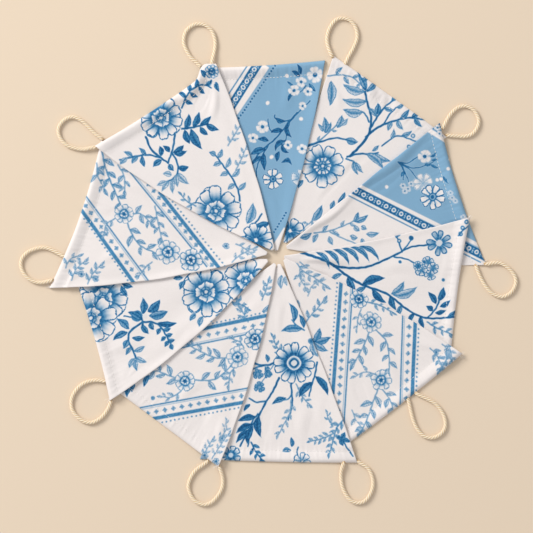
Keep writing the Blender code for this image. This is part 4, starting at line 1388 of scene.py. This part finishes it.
# Flag 8.
# White cotton with large open flowers at its hem and its tip, and dark leafy stems.
laid = LaidFlag(Flag(
    8, (-171, -144.5), (-215, 2), (-13.4, -4.4), 8, 0.5, -3.4, 0, 9, (1.4, 0),
    [Crease((100, 352), (150, 338), 20, 0.6), Crease((120, 380), (160, 348), 18, -0.5),
     Crease((168, 356), (212, 314), 16, 0.5), Crease((180, 300), (238, 274), 14, 0.4)]))
mesh, corners = cloth_mesh(laid)
pattern = Print(corners)
pattern.dot((66, 255), 9, 0.42)
pattern.stems(([(143, 322), (134, 328), (129, 334), (129, 342), (133, 350), (136, 358)], 1.7, 0.9),
              ([(144, 322), (152, 322), (160, 326), (166, 335), (171, 344)], 1.5, 0.9),
              ([(143, 324), (141, 317), (132, 317), (124, 316)], 1.1, 0.86))
pattern.dot((137, 316), 5.6, 0.72)
pattern.leaves((143, 314, 143, 298, 7.5, 0.76), (148, 312, 160, 300, 8.5, 0.78),
               (149, 316, 168, 311, 9, 0.66), (142, 320, 128, 312, 7, 0.74),
               (142, 324, 149, 334, 5.5, 0.74), (129, 329, 117, 319, 7.5, 0.66),
               (128, 332, 113, 340, 6.5, 0.7), (158, 323, 177, 323, 6, 0.84), (150, 322, 154, 330, 5, 0.7),
               (132, 338, 145, 337, 5, 0.7), (129, 340, 124, 349, 6, 0.62), (132, 347, 126, 355, 4.5, 0.55),
               (134, 351, 145, 346, 5.5, 0.42), (136, 357, 147, 362, 5.5, 0.4),
               (135, 358, 129, 368, 5, 0.4), (136, 359, 137, 371, 5, 0.42), (161, 328, 157, 335, 4.2, 0.68),
               (163, 330, 171, 328, 4.2, 0.68), (166, 335, 173, 334, 4.2, 0.68),
               (166, 337, 161, 341, 4.2, 0.68), (168, 340, 175, 340, 4.2, 0.68),
               (169, 341, 165, 347, 4.2, 0.68), (171, 343, 173, 350, 4.2, 0.68))
pattern.dot((145, 316), 2.6, 0.05)
pattern.bloom((103, 298), 25, 10, 0.1)
pattern.bloom((91, 318), 26, 9, 0.5)
pattern.leaves((122, 283, 133, 287, 5.4, 0.7), (121, 286, 128, 296, 5, 0.7))
pattern.sprig([(226, 305), (222, 316), (214, 324)], 6, 2, 0.5, 1)
pattern.leaves((203, 316, 199, 327, 5.4, 0.5), (196, 314, 190, 321, 5, 0.55))
pattern.bloom((246, 281), 22, 9, 0.9)
pattern.bloom((206, 292), 25, 10, 0.3)
pattern.leaves((184, 281, 180, 290, 4.6, 0.6), (183, 278, 173, 279, 5, 0.6))
finish_flag(laid, mesh, pattern, "white_print",
            [hem_stitches(laid), loose_threads(laid, (0.004, 0.012), (70, 105, 140, 30, 172), 5.5)])


# Flag 9.
# White cotton with two striped borders that run from the hem to its left side and a rose
# branch between them.
laid = LaidFlag(Flag(
    9, (-231.5, -32), (-180, 116), (-14, 2.6), 7.5, 0.5, -5.2, 0, 12, (1.5, 0),
    [Crease((92, 262), (140, 246), 18, 0.6), Crease((96, 212), (146, 218), 20, -0.5),
     Crease((112, 176), (156, 196), 16, 0.5), Crease((170, 246), (232, 250), 14, -0.3)]))
mesh, corners = cloth_mesh(laid)
pattern = Print(corners)
pattern.border(((83, 212), (133, 281.5)), ((86, 206), (137, 276.5)), ((87, 199), (146, 278.8)),
               ((84.5, 219), (128, 280)))
pattern.border(((161, 194), (220, 269)), ((138, 171), (212, 265)), ((132, 173), (206, 264)),
               ((167, 195), (225, 266)))
pattern.sprigs(([(102, 150), (105, 166), (110, 180), (117, 196), (121, 206)], 10, 4, 0.5, 1.3),
               ([(97, 163), (98, 176), (104, 188)], 8.5, 2, 0.42, 1),
               ([(118, 165), (124, 176), (125, 190)], 8, 2, 0.42, 1),
               ([(127, 222), (132, 234), (141, 246), (156, 253)], 9.5, 3, 0.45, 1.2),
               ([(131, 214), (141, 214), (150, 222)], 8.5, 2, 0.42, 1.1),
               ([(155, 206), (158, 222), (162, 240)], 8, 3, 0.42, 1),
               ([(116, 218), (107, 224), (104, 234)], 6, 2, 0.42, 1),
               ([(152, 262), (145, 268), (140, 275)], 5.5, 2, 0.42, 1))
pattern.rose((124, 214), 10, 0.5)
pattern.rose((168, 252), 12, 0.5, 0.4)
pattern.rose((191, 260), 11.5, 0.6, 0.9)
pattern.sprigs(([(72, 280), (76, 270), (84, 262)], 6.6, 3, 0.42, 0.9),
               ([(88, 284), (93, 274), (100, 266)], 6.6, 3, 0.42, 0.9),
               ([(66, 268), (70, 260), (78, 256)], 6.2, 2, 0.4, 0.9))
pattern.blossom((82, 274), 3.4, 5, 0.2, 0.4, 0.1, 0.5)
pattern.blossom((96, 279), 3.2, 5, 0.6, 0.4, 0.1, 0.5)
pattern.sprigs(([(232, 262), (242, 254), (254, 248)], 5.4, 3, 0.36, 0.9),
               ([(236, 244), (244, 248), (254, 256)], 5, 3, 0.36, 0.9))
pattern.blossom((226, 246), 3.4, 5, 0.6, 0.4, 0.1, 0.5)
finish_flag(laid, mesh, pattern, "white_print",
            [hem_stitches(laid), loose_threads(laid, (0.004, 0.012), (170, 140, 200, 110, 225), 5.5)])


# Flag 10.
# White cotton with large open flowers and leafy stems. The cord has drawn its right corner
# up, so that folds fan out from there under the hem.
laid = LaidFlag(Flag(
    10, (-186, 110), (-64, 190.8), (-7.6, 6.2), 7, 4.2, -2.5, 8, 10.5, (2, 1.1),
    [Crease((212, 74), (196, 118), 13, -1.2), Crease((206, 76), (178, 108), 13, 1),
     Crease((198, 80), (166, 104), 11, -0.9), Crease((218, 80), (212, 128), 12, 0.9),
     Crease((186, 88), (158, 112), 12, 0.5), Crease((206, 68), (216, 80), 8, -0.8),
     Crease((140, 150), (196, 196), 22, 0.5), Crease((176, 168), (236, 214), 18, -0.4)]))
mesh, corners = cloth_mesh(laid)
pattern = Print(corners)
pattern.stems(([(146, 137), (151, 149), (160, 157), (168, 163)], 1.7, 0.9),
              ([(175, 134), (173, 148), (168, 163)], 1.5, 0.88),
              ([(172, 153), (177, 162), (178, 171), (174, 178), (165, 183)], 1.4, 0.86),
              ([(161, 158), (149, 155), (138, 156), (129, 158), (120, 160)], 1.4, 0.86))
pattern.leaves((146, 156, 139, 148, 4.5, 0.6), (138, 156, 132, 164, 5, 0.55), (133, 157, 124, 152, 5, 0.5),
               (128, 158, 120, 165, 5, 0.4), (142, 156, 145, 167, 5, 0.66), (162, 160, 153, 167, 6, 0.7),
               (161, 156, 160, 146, 5.5, 0.84), (170, 152, 163, 146, 5, 0.84),
               (173, 153, 184, 145, 5.5, 0.84), (174, 154, 187, 151, 5.5, 0.8),
               (178, 168, 189, 167, 6, 0.84), (169, 164, 174, 171, 5.5, 0.66),
               (178, 173, 189, 184, 6.5, 0.36), (177, 174, 178, 187, 5.5, 0.36),
               (174, 178, 173, 194, 5, 0.36), (170, 181, 162, 192, 5, 0.34), (168, 182, 157, 186, 5, 0.32),
               (172, 175, 163, 174, 6, 0.34))
pattern.stem([(182, 129), (190, 128), (199, 126), (208, 124)], 1.6, 0.9)
pattern.leaves((185, 129, 189, 114, 6.5, 0.8), (193, 127, 199, 112, 6.5, 0.8),
               (200, 125, 211, 116, 5.5, 0.8), (206, 124, 219, 130, 6, 0.8), (200, 127, 208, 135, 5.5, 0.8),
               (191, 129, 202, 149, 8.5, 0.8), (185, 130, 190, 144, 6.5, 0.8))
pattern.stem([(182, 108), (186, 98), (192, 90), (203, 85), (211, 88)], 1.3, 0.88)
pattern.leaves((186, 98, 178, 92, 4.4, 0.74), (190, 92, 187, 82, 4.4, 0.74), (196, 88, 197, 79, 4.4, 0.74),
               (190, 93, 198, 97, 4.4, 0.74), (199, 87, 205, 94, 4.4, 0.74), (206, 86, 212, 80, 4.4, 0.74),
               (185, 100, 193, 104, 4.4, 0.74), (140, 112, 129, 108, 5, 0.72), (146, 102, 138, 95, 5, 0.72))
pattern.bloom((161, 118), 22, 10, 0.2)
pattern.rose((212, 72), 7, 0.7)
pattern.leaves((205, 78, 201, 70, 4.6, 0.8), (216, 82, 219, 92, 4.6, 0.7))
pattern.sprigs(([(228, 146), (234, 136), (240, 126)], 5.5, 3, 0.38, 0.9),
               ([(236, 170), (242, 158), (246, 148)], 5.5, 3, 0.38, 0.9))
pattern.stem([(240, 201), (238, 190), (232, 178), (225, 168), (216, 156)], 1.4, 0.88)
pattern.leaves((238, 190, 246, 182, 5, 0.42), (235, 184, 228, 190, 5, 0.42), (232, 177, 240, 168, 5, 0.42),
               (229, 173, 220, 176, 5, 0.42), (226, 168, 230, 157, 5, 0.42), (222, 163, 213, 166, 5, 0.42),
               (218, 158, 222, 149, 5, 0.45), (216, 156, 209, 152, 5, 0.5), (247, 224, 253, 203, 9.5, 0.5),
               (256, 226, 270, 222, 7, 0.8))
pattern.stem([(246, 236), (252, 228), (262, 214)], 1.4, 0.9)
pattern.whorl((256, 240), 17, 9, 0.4, deep=0.8, pale=0)
pattern.bloom((216, 211), 25, 9, 0.55)
pattern.sprig([(196, 206), (188, 202), (182, 196)], 5.5, 2, 0.5, 1)
finish_flag(laid, mesh, pattern, "white_print", [hem_stitches(laid, 0.02, 0.9)])
